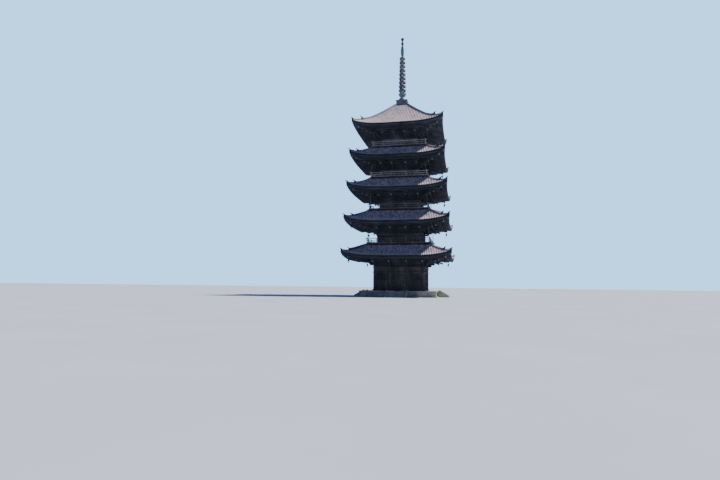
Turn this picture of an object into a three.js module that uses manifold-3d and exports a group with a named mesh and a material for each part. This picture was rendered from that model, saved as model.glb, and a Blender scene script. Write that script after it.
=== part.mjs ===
import * as THREE from "three";
import { mergeVertices } from "three/addons/utils/BufferGeometryUtils.js";
import Module from "manifold-3d";

const wasm = await Module();
wasm.setup();

// A five-storey timber pagoda as a 1:2 scale model. Lengths below are metres of the full-size tower,
// and every piece is scaled to millimetres of the model when its mesh is made.
// The front faces -Y, the right side +X, and the ground is z = 0.
const MODEL_MM_PER_METRE = 500;
const SEAT = 0.3 / MODEL_MM_PER_METRE; // clearance between two pieces where one rests on the other
const FLATNESS = 1e-4;
const CUT_PAST = 1; // how far a cutting shape runs past the face that it opens

// Driving sizes of the five storeys, from the ground up. Half-widths are to the column lines,
// to the middle of each tiled edge, and to the balcony edge; heights are above the ground.
const COLUMN_LINE = [4.74, 4.175, 3.8, 3.5, 3.22];
const CENTRE_BAY = [3.4, 3.0, 2.74, 2.72, 2.15];
const COLUMN_RADIUS = [0.28, 0.25, 0.24, 0.23, 0.22];
const FLOOR_TOP = [1.2, 10.4, 17.15, 23.6, 29.85];
const EAVE_HALF = [10.05, 9.68, 9.31, 8.91, 8.565];
const EAVE_TOP = [7.75, 14.32, 20.82, 27.17, 33.5];
const BALCONY_HALF = [null, 6.2, 5.85, 5.6, 5.36];
const STOREYS = [0, 1, 2, 3, 4];
const UPPER_STOREYS = [1, 2, 3, 4];
const TOP = 4;

// Stone platform and its four flights.
const PODIUM_HALF = 7.2;
const PODIUM_COPING = { out: 0.12, height: 0.24 };
const PODIUM_FOOTING = { out: 0.2, height: 0.22 };
const STAIR = { steps: 6, going: 0.32, halfWidth: 1.7, cheek: 0.4, cheekRise: 0.16 };

// Storey walls: beams that ring the columns, and the boarded walls between them.
const PLATE_BELOW_EAVE = 1.9;
const PLATE = { height: 0.15, inner: 0.2, outer: 0.36 };
const HEAD_TIE = { height: 0.25, inner: 0.12, outer: 0.14 };
const LINTEL_HEIGHT = 0.18;
const WALL_HALF_THICKNESS = 0.08;
const SILL_HEIGHT = [0.3, 0.2, 0.2, 0.2, 0.2];
const SILL_INNER = 0.2;
const NOSING = 0.05; // how far the sill and lintel beams stand proud of the columns
const GROUND_LINTEL_TOP = 4.85;
const JAMB = 0.12; // wall left between a column and the door or window beside it
const WINDOW_SILL = [1.75, 0.32, 0.32, 0.32, 0.32]; // above the storey's sill beam
const DOOR_HALF_THICKNESS = 0.045;
const DOOR_STRIP = { halfWidth: 0.06, proud: 0.03 };
const LEAF_TENON = 0.05; // how far the door leaves run down into the sill beam

// Three-step brackets: how far each tie beam stands out from the column line, and their heights
// above the plate. The tail rafter slopes down through them to carry the eave purlin.
const STEP_OUT = [0.7, 1.35, 2.0];
const TIE_HALF = 0.09;
const PURLIN_HALF = 0.14;
const PURLIN_HEIGHT = 0.28;
const PURLIN_BLOCK = { half: 0.1, into: 0.04 };
const BRACKET_HALF = 0.13;
const BRACKET_UNDERSIDE = [[0, 0], [0.3, 0], [0.8, 0.3], [1.45, 0.75]]; // out from the columns, above the plate
const TAIL_END = { out: 2.4, abovePlate: 0.8, depth: 0.3 };
const TAIL_SLOPE = 0.4;
const HIP_TAIL_START = 1;
const HIP_TAIL_END = { out: 3.1, abovePlate: 0.98, depth: 0.28 };
const HIP_TAIL_SLOPE = 0.3;

// Two tiers of rafters carry the boarding; their own bars hang below it.
const TILE_EDGE = 0.28;
const EDGE_INSET = 0.06;
const FLYING = { length: 1.5, slope: 0.2, underside: 0.64, depth: 0.14 };
const BASE = { inset: 1.28, slope: 0.36, underside: 0.69, depth: 0.17 };
const BOARDING = 0.05;
const BOARDING_INSIDE = 0.3; // how far the boarding runs in under the wall of the storey above
const EDGE_LIP = 0.4;
const HIP_RAFTER = { half: 0.15, drop: 0.16, inside: 0.1, pastPurlin: 0.4, tipInset: 0.3 };

// Tiled roofs: the corners sweep up and out, and the slope is hollow.
const CORNER_LIFT = 0.9;
const CORNER_FLARE = 0.25;
const SWEEP_PAST_PURLIN = 0.1;
const LIFT_ALONG_EAVE = 4;
const LIFT_DOWN_SLOPE = 1.5;
const ROOF_HOLLOW = [0.3, 0.3, 0.3, 0.3, 0.25];
const UPPER_ROWS = [1, 1, 1, 1, 3];
const ROOF_SHELF = 0.2; // level tile course that a balcony or the finial stands on, outside its edge
const SHELF_BELOW_FLOOR = 0.44;
const ROOF_SHELF_INNER = 0.45;
const ROOF_MIDDLE_DEPTH = 0.364;
const TOP_SHELF = { half: 1.25, height: 39.44, inner: 0.7 };

// Hip ridges in two steps, each ending in an upturned tile.
const RIDGE_INSET = 0.3;
const RIDGE_STEP_FROM_TIP = [1.25, 1.25, 1.25, 1.25, 1.55];
const RIDGE_HEIGHT = { upper: [0.24, 0.24, 0.24, 0.24, 0.31], lower: 0.21 };
const RIDGE_END = { length: 0.35, upper: [0.47, 0.47, 0.47, 0.47, 0.6], lower: 0.47, lean: 0.1 };
const CROWN_COURSE = { inset: 0.01, rise: [0.15, 0.15, 0.15, 0.15, 0.2] };

// Balconies and their rails.
const DECK = 0.14;
const DECK_BEAM = { inner: 0.4, outer: 0.06 };
const BALCONY_SILL_HALF = 0.15;
const PILLAR_CLEARANCE = 0.12;
const RAIL_INSET = 0.13;
const RAIL_HALF = 0.055;
const RAILS = [
  { low: 0, high: 0.16, projection: 0.12 },
  { low: 0.47, high: 0.56, projection: 0 },
  { low: 0.84, high: 0.95, projection: 0.4 },
];
const PROP_HALF = 0.055;
const PROP_INSET = 0.28;
const PROP_CLIP = { low: 0.48, high: 0.55 }; // tie between a prop and the middle rail

// Bronze finial on the heart pillar. Profiles are pairs of radius and height.
const PILLAR = { radius: 0.33, shoulder: 39.2, neck: 0.18, neckFrom: 39.3, top: 42.35 };
const FINIAL_BASE = {
  foot: { half: 1.25, height: 0.27 },
  body: { half: 1.14, height: 0.81 },
  rim: { half: 1.21, height: 0.25 },
  overlap: 0.01,
};
const BOWL_FOOT = 0.78;
const BOWL_AND_CUP = [
  [0.76, 41.04],
  [0.62, 41.36],
  [0.27, 41.62],
  [0.27, 41.74],
  [0.57, 41.86],
  [0.67, 42.1],
  [0.76, 42.5],
  [0.6, 42.5],
];
const CUP_FLOOR = { radius: 0.4, height: 42.4 };
const RING_RADII = [0.745, 0.71, 0.7, 0.685, 0.665, 0.635, 0.61, 0.6, 0.58];
const FIRST_RING = 43.17;
const RING_SPACING = 0.87;
const RING = { height: 0.38, thickness: 0.075 };
const RING_ARM = { half: 0.03, inset: 0.13 };
const SHAFT_FOOT = 0.3;
const SHAFT_SLEEVE = [
  [0.24, 42.6],
  [0.19, 42.87],
  [0.19, 50.42],
];
const SHAFT_NECK = 50.565;
const SHAFT_RADIUS = 0.085;
const SHAFT_TOP = 53.1;
const FLAME = { low: 50.62, sleeve: 0.15, sleeveHigh: 52.96, halfThickness: 0.035 };
const FLAME_BLADE = [
  [0.11, 50.66],
  [0.26, 50.78],
  [0.37, 51.05],
  [0.37, 51.4],
  [0.32, 52],
  [0.35, 52.42],
  [0.28, 52.72],
  [0.11, 52.94],
];
const BALL_FOOT = 0.12;
const BALL = [
  [0.21, 53.22],
  [0.25, 53.38],
  [0.24, 53.58],
  [0.17, 53.78],
];
const BALL_TOP = { radius: 0.1, height: 53.9 };
const JEWEL_FOOT = 0.1;
const JEWEL = [
  [0.12, 54.16],
  [0.23, 54.32],
  [0.28, 54.47],
  [0.23, 54.62],
  [0.11, 54.74],
  [0, 54.8],
];

const TIMBER = { color: 0x3b3a3f, roughness: 0.85, metalness: 0 };
const DOOR_TIMBER = { color: 0x45434a, roughness: 0.85, metalness: 0 };
const ROOF_TILE = { color: 0x6d717b, roughness: 0.7, metalness: 0 };
const RIDGE_TILE = { color: 0x4b4f5a, roughness: 0.7, metalness: 0 };
const STONE = { color: 0xa39c90, roughness: 0.9, metalness: 0 };
const BRONZE = { color: 0x4a4f55, roughness: 0.5, metalness: 0.9 };

const pagoda = new THREE.Group();

// A three.js geometry as a solid that can be joined or cut.
function solidOf(geometry) {
  const bare = geometry.index ? geometry.toNonIndexed() : geometry.clone();
  bare.deleteAttribute("normal");
  bare.deleteAttribute("uv");
  const merged = mergeVertices(bare, 1e-6);
  return new wasm.Manifold(
    new wasm.Mesh({
      numProp: 3,
      vertProperties: new Float32Array(merged.attributes.position.array),
      triVerts: new Uint32Array(merged.index.array),
    }),
  );
}

function joined(geometries) {
  return wasm.Manifold.union(geometries.map(solidOf));
}

// Adds one named piece, scaled from the tower's metres to the model's millimetres, with the
// triangles of each flat face merged into as few as it needs.
function addPiece(name, solid, finish) {
  const made = solid.asOriginal().simplify(FLATNESS).getMesh();
  const geometry = new THREE.BufferGeometry();
  geometry.setAttribute("position", new THREE.BufferAttribute(made.vertProperties, made.numProp));
  geometry.setIndex(new THREE.BufferAttribute(made.triVerts, 1));
  geometry.scale(MODEL_MM_PER_METRE, MODEL_MM_PER_METRE, MODEL_MM_PER_METRE);
  geometry.computeVertexNormals();
  const mesh = new THREE.Mesh(geometry, new THREE.MeshStandardMaterial(finish));
  mesh.name = name;
  pagoda.add(mesh);
}

function block([x0, x1], [y0, y1], [z0, z1]) {
  const box = new THREE.BoxGeometry(x1 - x0, y1 - y0, z1 - z0);
  return box.translate((x0 + x1) / 2, (y0 + y1) / 2, (z0 + z1) / 2);
}

// A square ring of beams round the tower's axis.
function squareRing(inner, outer, low, high) {
  const shape = new THREE.Shape();
  shape.moveTo(-outer, -outer).lineTo(outer, -outer).lineTo(outer, outer).lineTo(-outer, outer);
  const hole = new THREE.Path();
  hole.moveTo(-inner, -inner).lineTo(-inner, inner).lineTo(inner, inner).lineTo(inner, -inner);
  shape.holes.push(hole);
  const ring = new THREE.ExtrudeGeometry(shape, { depth: high - low, bevelEnabled: false });
  return ring.translate(0, 0, low);
}

function square(half, low, high) {
  return block([-half, half], [-half, half], [low, high]);
}

// An upright round post with flats facing the walls.
function post(radius, sides, x, y, low, high) {
  const prism = new THREE.CylinderGeometry(radius, radius, high - low, sides);
  prism.rotateX(Math.PI / 2).rotateZ(Math.PI / sides);
  return prism.translate(x, y, (low + high) / 2);
}

// A profile drawn in the outward and upward directions of the front side, with a thickness across.
function upright(profile, halfThickness) {
  const shape = new THREE.Shape(profile.map(([out, height]) => new THREE.Vector2(out, height)));
  const plate = new THREE.ExtrudeGeometry(shape, { depth: 2 * halfThickness, bevelEnabled: false });
  plate.translate(0, 0, -halfThickness);
  return plate.rotateX(Math.PI / 2).rotateZ(-Math.PI / 2);
}

function quarterTurns(geometries) {
  const turns = [0, 1, 2, 3].map((quarter) =>
    geometries.map((geometry) => geometry.clone().rotateZ((quarter * Math.PI) / 2)),
  );
  return turns.flat();
}

// A skin over sections of equal point counts: closed into a loop, or capped at both ends.
// Each four-sided patch folds along its shorter diagonal, so skins that meet fold alike.
function loft(sections, isLoop) {
  const positions = [];
  const face = (...corners) => corners.forEach((corner) => positions.push(...corner.toArray()));
  const spans = isLoop ? sections.length : sections.length - 1;
  const count = sections[0].length;
  for (let s = 0; s < spans; s++) {
    const near = sections[s];
    const far = sections[(s + 1) % sections.length];
    for (let i = 0; i < count; i++) {
      const j = (i + 1) % count;
      if (near[i].distanceTo(far[j]) < near[j].distanceTo(far[i])) {
        face(near[i], far[j], far[i]);
        face(near[i], near[j], far[j]);
      } else {
        face(near[i], near[j], far[i]);
        face(near[j], far[j], far[i]);
      }
    }
  }
  if (!isLoop) {
    const first = sections[0];
    const last = sections[sections.length - 1];
    for (let i = 1; i < count - 1; i++) {
      face(first[0], first[i + 1], first[i]);
      face(last[0], last[i], last[i + 1]);
    }
  }
  const geometry = new THREE.BufferGeometry();
  return geometry.setAttribute("position", new THREE.Float32BufferAttribute(positions, 3));
}

const storeyPurlin = (storey) => COLUMN_LINE[storey] + STEP_OUT[2];
const plateTop = (storey) => EAVE_TOP[storey] - PLATE_BELOW_EAVE;

// How much of the corner's sweep a point of the eaves has, 0 at the purlin and 1 at the tip.
function sweepShare(storey, along, half) {
  const from = storeyPurlin(storey) + SWEEP_PAST_PURLIN;
  const run = Math.max(0, (half - from) / (EAVE_HALF[storey] - from));
  return Math.abs(along) ** LIFT_ALONG_EAVE * run ** LIFT_DOWN_SLOPE;
}

// A point on the front side's eaves or roof. A station is a share of the half-width,
// or, beside the hip, a fixed distance in from the corner.
function eavePoint(storey, station, half, height) {
  const along = station.inset ? Math.sign(station.along) * (1 - station.inset / half) : station.along;
  const sweep = sweepShare(storey, along, half);
  const out = half + CORNER_FLARE * sweep;
  const across = station.inset ? Math.sign(station.along) * (out - station.inset) : along * out;
  return new THREE.Vector3(across, -out, height + CORNER_LIFT * sweep);
}

const EAVE_STATIONS = [
  { along: -1 },
  { along: -1, inset: RIDGE_INSET },
  { along: -0.77 },
  { along: -0.35 },
  { along: 0.35 },
  { along: 0.77 },
  { along: 1, inset: RIDGE_INSET },
];

// A section of the eaves, given as half-width and height, swept round all four sides.
function roundTheEaves(storey, section) {
  const up = new THREE.Vector3(0, 0, 1);
  const sections = [];
  for (let quarter = 0; quarter < 4; quarter++) {
    for (const station of EAVE_STATIONS) {
      const points = section.map(([half, height]) => eavePoint(storey, station, half, height));
      sections.push(points.map((point) => point.applyAxisAngle(up, (quarter * Math.PI) / 2)));
    }
  }
  return loft(sections, true);
}

// Heights of the rafters' undersides at the middle of a side.
const flyingUnderside = (storey, half) =>
  EAVE_TOP[storey] - FLYING.underside + FLYING.slope * (EAVE_HALF[storey] - half);
const baseUnderside = (storey, half) =>
  EAVE_TOP[storey] - BASE.underside + BASE.slope * (EAVE_HALF[storey] - BASE.inset - half);

function addPodium() {
  const height = FLOOR_TOP[0] - SEAT;
  const coping = PODIUM_COPING;
  const podium = joined([
    square(PODIUM_HALF + PODIUM_FOOTING.out, 0, PODIUM_FOOTING.height),
    square(PODIUM_HALF, 0, height),
    square(PODIUM_HALF + coping.out, height - coping.height, height),
  ]);
  addPiece("podium", podium, STONE);
}

// One flight: treads between two sloping cheek stones, standing clear of the footing and coping.
function addStairs() {
  const rise = (FLOOR_TOP[0] - SEAT) / STAIR.steps;
  const near = PODIUM_HALF + PODIUM_FOOTING.out + SEAT;
  const far = near + STAIR.steps * STAIR.going;
  const treads = [[near, 0]];
  for (let step = 0; step < STAIR.steps; step++) {
    const out = far - step * STAIR.going;
    treads.push([out, step * rise], [out, (step + 1) * rise]);
  }
  treads.push([near, STAIR.steps * rise]);
  const cheek = [
    [near, 0],
    [far + STAIR.going / 2, 0],
    [far + STAIR.going / 2, STAIR.cheekRise + rise / 2],
    [near + STAIR.going / 2, FLOOR_TOP[0] + STAIR.cheekRise],
    [near, FLOOR_TOP[0] + STAIR.cheekRise],
  ];
  const cheekAt = STAIR.halfWidth + STAIR.cheek / 2;
  const flight = [
    upright(treads, STAIR.halfWidth + STAIR.cheek / 2),
    upright(cheek, STAIR.cheek / 2).translate(cheekAt, 0, 0),
    upright(cheek, STAIR.cheek / 2).translate(-cheekAt, 0, 0),
  ];
  ["front", "right", "back", "left"].forEach((side, quarter) => {
    const turned = flight.map((piece) => piece.clone().rotateZ((quarter * Math.PI) / 2));
    addPiece("stair_" + side, joined(turned), STONE);
  });
}

// Levels and openings of a storey's walls, shared by the walls and the doors.
function wallLayout(storey) {
  const line = COLUMN_LINE[storey];
  const radius = COLUMN_RADIUS[storey];
  const sillTop = FLOOR_TOP[storey] + SILL_HEIGHT[storey];
  const tieLow = plateTop(storey) - PLATE.height - HEAD_TIE.height;
  const lintelLow = (storey === 0 ? GROUND_LINTEL_TOP : tieLow) - LINTEL_HEIGHT;
  const centre = CENTRE_BAY[storey] / 2;
  return {
    line,
    radius,
    sillTop,
    tieLow,
    lintelLow,
    columns: [-line, -centre, centre],
    door: centre - radius - JAMB,
    window: [centre + radius + JAMB, line - radius - JAMB],
    windowLow: sillTop + WINDOW_SILL[storey],
  };
}

function addWalls(storey) {
  const { line, radius, sillTop, tieLow, lintelLow, columns, door, window, windowLow } =
    wallLayout(storey);
  const plate = plateTop(storey);
  const low = sillTop + SEAT;
  const lintelOuter = line + radius + NOSING;
  const columnTop = storey === 0 ? plate - PLATE.height : lintelLow;
  const frame = [
    squareRing(line - WALL_HALF_THICKNESS, line + WALL_HALF_THICKNESS, low, tieLow),
    squareRing(line - HEAD_TIE.inner, line + HEAD_TIE.outer, tieLow, plate - PLATE.height),
    squareRing(line - PLATE.inner, line + PLATE.outer, plate - PLATE.height, plate),
    squareRing(line - WALL_HALF_THICKNESS, lintelOuter, lintelLow, lintelLow + LINTEL_HEIGHT),
  ];
  const posts = columns.map((x) => post(radius, 8, x, -line, low, columnTop));
  const through = [-line - CUT_PAST, -line + CUT_PAST];
  const openings = [
    block([-door, door], through, [low - CUT_PAST, lintelLow]),
    block(window, through, [windowLow, lintelLow]),
    block([-window[1], -window[0]], through, [windowLow, lintelLow]),
  ];
  const holes = joined(quarterTurns(openings));
  const walls = joined([...frame, ...quarterTurns(posts)]).subtract(holes);
  addPiece(`storey_${storey + 1}_walls`, walls, TIMBER);
}

// Plank doors in each side, closed, standing on the sill beam that rings the storey.
function addDoors(storey) {
  const { line, radius, sillTop, lintelLow, door } = wallLayout(storey);
  const low = FLOOR_TOP[storey] + (storey === 0 ? 0 : SEAT);
  const half = door - SEAT;
  const high = lintelLow - SEAT;
  const strip = DOOR_STRIP;
  const outside = -line - DOOR_HALF_THICKNESS;
  const leaves = [
    block([-half, half], [outside, -line + DOOR_HALF_THICKNESS], [sillTop - LEAF_TENON, high]),
    block([-strip.halfWidth, strip.halfWidth], [outside - strip.proud, -line], [sillTop - LEAF_TENON, high]),
  ];
  const sill = squareRing(line - SILL_INNER, line + radius + NOSING, low, sillTop);
  addPiece(`storey_${storey + 1}_doors`, joined([sill, ...quarterTurns(leaves)]), DOOR_TIMBER);
}

// One bracket set seen from the side: three steps out from the plate, then the tail rafter
// running down to its end, with the block and arm that take the purlin.
function bracketProfile(purlinLow) {
  const tailLow = (out) => TAIL_END.abovePlate + TAIL_SLOPE * (TAIL_END.out - out);
  const tailHigh = (out) => tailLow(out) + TAIL_END.depth;
  const [, , third] = STEP_OUT;
  const [lastStep] = BRACKET_UNDERSIDE[BRACKET_UNDERSIDE.length - 1];
  return [
    ...BRACKET_UNDERSIDE,
    [lastStep, tailLow(lastStep)],
    [TAIL_END.out, TAIL_END.abovePlate],
    [TAIL_END.out, TAIL_END.abovePlate + TAIL_END.depth],
    [third + PURLIN_BLOCK.half, purlinLow + PURLIN_BLOCK.into],
    [third - PURLIN_BLOCK.half, purlinLow + PURLIN_BLOCK.into],
    [0, tailHigh(0)],
  ];
}

function addBrackets(storey) {
  const line = COLUMN_LINE[storey];
  const plate = plateTop(storey) + SEAT;
  const purlin = storeyPurlin(storey);
  const purlinTop = baseUnderside(storey, purlin + PURLIN_HALF);
  const purlinLow = purlinTop - PURLIN_HEIGHT;
  const wallTop = baseUnderside(storey, line + TIE_HALF);
  const profile = bracketProfile(purlinLow - plate);
  const set = upright(profile, BRACKET_HALF).translate(0, -line, plate);
  const centre = CENTRE_BAY[storey] / 2;
  const sets = [-centre, centre].map((x) => set.clone().translate(x, 0, 0));

  // The corner set runs out along the diagonal, so its steps are longer by the root of two.
  const diagonal = Math.SQRT2;
  const { out: hipTailOut, abovePlate: hipTailLow, depth: hipTailDepth } = HIP_TAIL_END;
  const hipTailRise = HIP_TAIL_SLOPE * (hipTailOut - HIP_TAIL_START);
  const hipTail = [
    [HIP_TAIL_START, hipTailLow + hipTailRise],
    [hipTailOut, hipTailLow],
    [hipTailOut, hipTailLow + hipTailDepth],
    [HIP_TAIL_START, hipTailLow + hipTailDepth + hipTailRise],
  ];
  const corner = [profile, hipTail].map((outline) => {
    const stretched = outline.map(([out, height]) => [out * diagonal, height]);
    const placed = upright(stretched, BRACKET_HALF).rotateZ(Math.PI / 4);
    return placed.translate(line, -line, plate);
  });
  const rings = [
    squareRing(line - TIE_HALF, line + TIE_HALF, plate, wallTop),
    squareRing(purlin - PURLIN_HALF, purlin + PURLIN_HALF, purlinLow, purlinTop),
  ];
  const solid = joined([...rings, ...quarterTurns([...sets, ...corner])]);
  addPiece(`storey_${storey + 1}_brackets`, solid, TIMBER);
}

// Diagonal hip rafter under one corner, following the two tiers of the eaves.
function hipRafter(storey) {
  const line = COLUMN_LINE[storey];
  const edge = EAVE_HALF[storey];
  const purlin = storeyPurlin(storey);
  const side = HIP_RAFTER.half / Math.SQRT2;
  const drop = HIP_RAFTER.drop;
  const section = (half, low, high) => {
    const sweep = sweepShare(storey, 1, half);
    const at = half + CORNER_FLARE * sweep;
    const lift = CORNER_LIFT * sweep;
    return [
      new THREE.Vector3(at - side, -at - side, low + lift),
      new THREE.Vector3(at + side, -at + side, low + lift),
      new THREE.Vector3(at + side, -at + side, high + lift),
      new THREE.Vector3(at - side, -at - side, high + lift),
    ];
  };
  const low = (half) => baseUnderside(storey, half);
  const high = (half) => low(half) + BASE.depth + BOARDING / 2;
  const inner = line - HIP_RAFTER.inside;
  const notchEnd = purlin + PURLIN_HALF;
  const outside = purlin + HIP_RAFTER.pastPurlin;
  const back = edge - FLYING.length;
  const tip = edge - HIP_RAFTER.tipInset;
  const tipLow = flyingUnderside(storey, tip);
  const sections = [
    section(inner, low(inner) + SEAT, high(inner)),
    section(notchEnd, low(notchEnd) + SEAT, high(notchEnd)),
    section(outside, low(outside) - drop, high(outside)),
    section(back, low(back) - drop, high(back)),
    section(tip, tipLow - drop, tipLow + FLYING.depth + BOARDING / 2),
  ];
  return loft(sections, false);
}

// Half-width inside which the eave boarding of a storey stops: the wall line of the storey above.
const boardingInner = (storey) => COLUMN_LINE[Math.min(storey + 1, TOP)] - BOARDING_INSIDE;

function addEaves(storey) {
  const edge = EAVE_HALF[storey];
  const top = EAVE_TOP[storey];
  const inner = boardingInner(storey);
  const purlin = storeyPurlin(storey);
  const baseTop = (half) => baseUnderside(storey, half) + BASE.depth;
  const flyingTop = (half) => flyingUnderside(storey, half) + FLYING.depth;
  const step = edge - BASE.inset;
  const back = edge - FLYING.length;
  const section = [
    [edge - EDGE_INSET, top - TILE_EDGE - SEAT],
    [edge - EDGE_INSET, flyingTop(edge - EDGE_INSET)],
    [step, flyingTop(step)],
    [step, baseTop(step)],
    [purlin, baseTop(purlin)],
    [inner, baseTop(inner)],
    [inner, baseTop(inner) + BOARDING],
    [purlin, baseTop(purlin) + BOARDING],
    [back, baseTop(back) + BOARDING],
    [back, flyingTop(back) + BOARDING],
    [edge - EDGE_LIP, top - TILE_EDGE - SEAT],
  ];
  const boarding = roundTheEaves(storey, section);
  const rafters = quarterTurns([hipRafter(storey)]);
  addPiece(`storey_${storey + 1}_eaves`, joined([boarding, ...rafters]), TIMBER);
}

// The level course at the head of a roof, which carries the balcony above or the finial.
function roofHead(storey) {
  if (storey === TOP) {
    return TOP_SHELF;
  }
  const half = BALCONY_HALF[storey + 1];
  return {
    half,
    height: FLOOR_TOP[storey + 1] - SHELF_BELOW_FLOOR,
    inner: half - ROOF_SHELF_INNER,
  };
}

// Height of the tile bed at the middle of a side, on a hollow curve from the head to the eave.
function tileBed(storey, half) {
  const head = roofHead(storey);
  const from = head.half + ROOF_SHELF;
  const run = (half - from) / (EAVE_HALF[storey] - from);
  const hollow = ROOF_HOLLOW[storey];
  return head.height - (head.height - EAVE_TOP[storey]) * ((1 + hollow) * run - hollow * run * run);
}

// Half-widths where the tile bed bends: evenly down to the ridge's step, then along the ridge's ends.
function roofRows(storey) {
  const edge = EAVE_HALF[storey];
  const from = roofHead(storey).half + ROOF_SHELF;
  const step = edge - RIDGE_STEP_FROM_TIP[storey];
  const rows = [];
  for (let row = 0; row < UPPER_ROWS[storey]; row++) {
    rows.push(THREE.MathUtils.lerp(from, step - RIDGE_END.length, row / UPPER_ROWS[storey]));
  }
  return { upper: [...rows, step - RIDGE_END.length, step], lower: [edge - RIDGE_END.length, edge] };
}

function addRoof(storey) {
  const head = roofHead(storey);
  const edge = EAVE_HALF[storey];
  const rows = roofRows(storey);
  const bed = [...rows.upper, ...rows.lower].map((half) => [half, tileBed(storey, half)]);
  const from = bed[0][0];
  const lip = edge - EDGE_LIP;
  const middle = (from + lip) / 2;
  const section = [
    [head.inner, head.height - TILE_EDGE],
    [head.inner, head.height],
    ...bed,
    [edge - EDGE_INSET, EAVE_TOP[storey] - TILE_EDGE],
    [lip, EAVE_TOP[storey] - TILE_EDGE],
    [middle, tileBed(storey, middle) - ROOF_MIDDLE_DEPTH],
  ];
  addPiece(`storey_${storey + 1}_roof`, solidOf(roundTheEaves(storey, section)), ROOF_TILE);
}

// One hip ridge, in two runs: it sits on the two tile slopes, steps down, and both runs turn up.
function hipRidge(storey) {
  const { upper, lower } = roofRows(storey);
  const section = (half, rise, lean) => {
    const bed = tileBed(storey, half) + SEAT;
    const hip = eavePoint(storey, { along: 1 }, half, bed);
    const front = eavePoint(storey, { along: 1, inset: RIDGE_INSET }, half, bed);
    const right = new THREE.Vector3(-front.y, -front.x, front.z);
    const top = hip.z + rise;
    return [
      hip,
      right,
      new THREE.Vector3(right.x + lean, right.y - lean, top),
      new THREE.Vector3(front.x + lean, front.y - lean, top),
      front,
    ];
  };
  const run = (halves, rise, endRise, lean) =>
    loft(
      halves.map((half, index) =>
        index < halves.length - 1 ? section(half, rise, 0) : section(half, endRise, lean),
      ),
      false,
    );
  const stepAt = upper[upper.length - 1];
  return [
    run(upper, RIDGE_HEIGHT.upper[storey], RIDGE_END.upper[storey], RIDGE_END.lean),
    run([stepAt, ...lower], RIDGE_HEIGHT.lower, RIDGE_END.lower, 0),
  ];
}

function addRidges(storey) {
  const head = roofHead(storey);
  const low = head.height + SEAT;
  const { inset, rise } = CROWN_COURSE;
  const crown = squareRing(head.half + inset, head.half + ROOF_SHELF, low, low + rise[storey]);
  const ridges = joined([crown, ...quarterTurns(hipRidge(storey))]);
  addPiece(`storey_${storey + 1}_hip_ridges`, ridges, RIDGE_TILE);
}

function addBalcony(storey) {
  const half = BALCONY_HALF[storey];
  const top = FLOOR_TOP[storey];
  const below = storey - 1;
  const line = COLUMN_LINE[storey];
  const sill = { inner: line - BALCONY_SILL_HALF, outer: line + BALCONY_SILL_HALF };
  const sillLow = baseUnderside(below, sill.inner) + BASE.depth + BOARDING + SEAT;
  const deckLow = top - DECK;
  const beamLow = roofHead(below).height + SEAT;
  const frame = joined([
    square(half, deckLow, top),
    squareRing(half - DECK_BEAM.inner, half - DECK_BEAM.outer, beamLow, deckLow),
    squareRing(sill.inner, sill.outer, sillLow, deckLow),
  ]);
  const well = rod(PILLAR.radius + PILLAR_CLEARANCE, top - CUT_PAST, top + CUT_PAST);
  addPiece(`storey_${storey + 1}_balcony`, frame.subtract(solidOf(well)), TIMBER);
}

// Rails with crossed, projecting ends, posts at the column lines and corners, and the slender
// props that stand on the balcony's corners under the corner tail rafters.
function addBalustrade(storey) {
  const half = BALCONY_HALF[storey] - RAIL_INSET;
  const deck = FLOOR_TOP[storey] + SEAT;
  const rails = RAILS.map(({ low, high, projection }) => {
    const reach = half + projection;
    return block([-reach, reach], [-half - RAIL_HALF, -half + RAIL_HALF], [deck + low, deck + high]);
  });
  const centre = CENTRE_BAY[storey] / 2;
  const posts = [-half, -centre, centre].map((x) => {
    const across = [-half - RAIL_HALF, -half + RAIL_HALF];
    return block([x - RAIL_HALF, x + RAIL_HALF], across, [deck, deck + RAILS[2].high]);
  });
  const tail = plateTop(storey) + 2 * SEAT + TAIL_END.abovePlate;
  const propAt = BALCONY_HALF[storey] - PROP_INSET;
  const propTop = tail + TAIL_SLOPE * (COLUMN_LINE[storey] + TAIL_END.out - propAt) - PROP_HALF;
  const propInner = propAt - PROP_HALF;
  const propOuter = propAt + PROP_HALF;
  const prop = block([propInner, propOuter], [-propOuter, -propInner], [deck, propTop]);
  const clip = block([propInner, half], [-half, -propInner], [deck + PROP_CLIP.low, deck + PROP_CLIP.high]);
  addPiece(
    `storey_${storey + 1}_balustrade`,
    joined(quarterTurns([...rails, ...posts, prop, clip])),
    TIMBER,
  );
}

function lathe(profile, segments) {
  const points = profile.map(([radius, height]) => new THREE.Vector2(radius, height));
  return new THREE.LatheGeometry(points, segments).rotateX(Math.PI / 2);
}

// An upright eight-sided rod on the tower's axis.
function rod(radius, low, high) {
  return lathe([[0, low], [radius, low], [radius, high], [0, high]], 8);
}

// The tall pillar stands on the platform, runs free through every floor and carries the finial.
function addHeartPillar() {
  const pillar = lathe(
    [
      [0, FLOOR_TOP[0] + SEAT],
      [PILLAR.radius, FLOOR_TOP[0] + SEAT],
      [PILLAR.radius, PILLAR.shoulder],
      [PILLAR.neck, PILLAR.neckFrom],
      [PILLAR.neck, PILLAR.top],
      [0, PILLAR.top],
    ],
    8,
  );
  addPiece("heart_pillar", solidOf(pillar), TIMBER);
}

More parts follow.
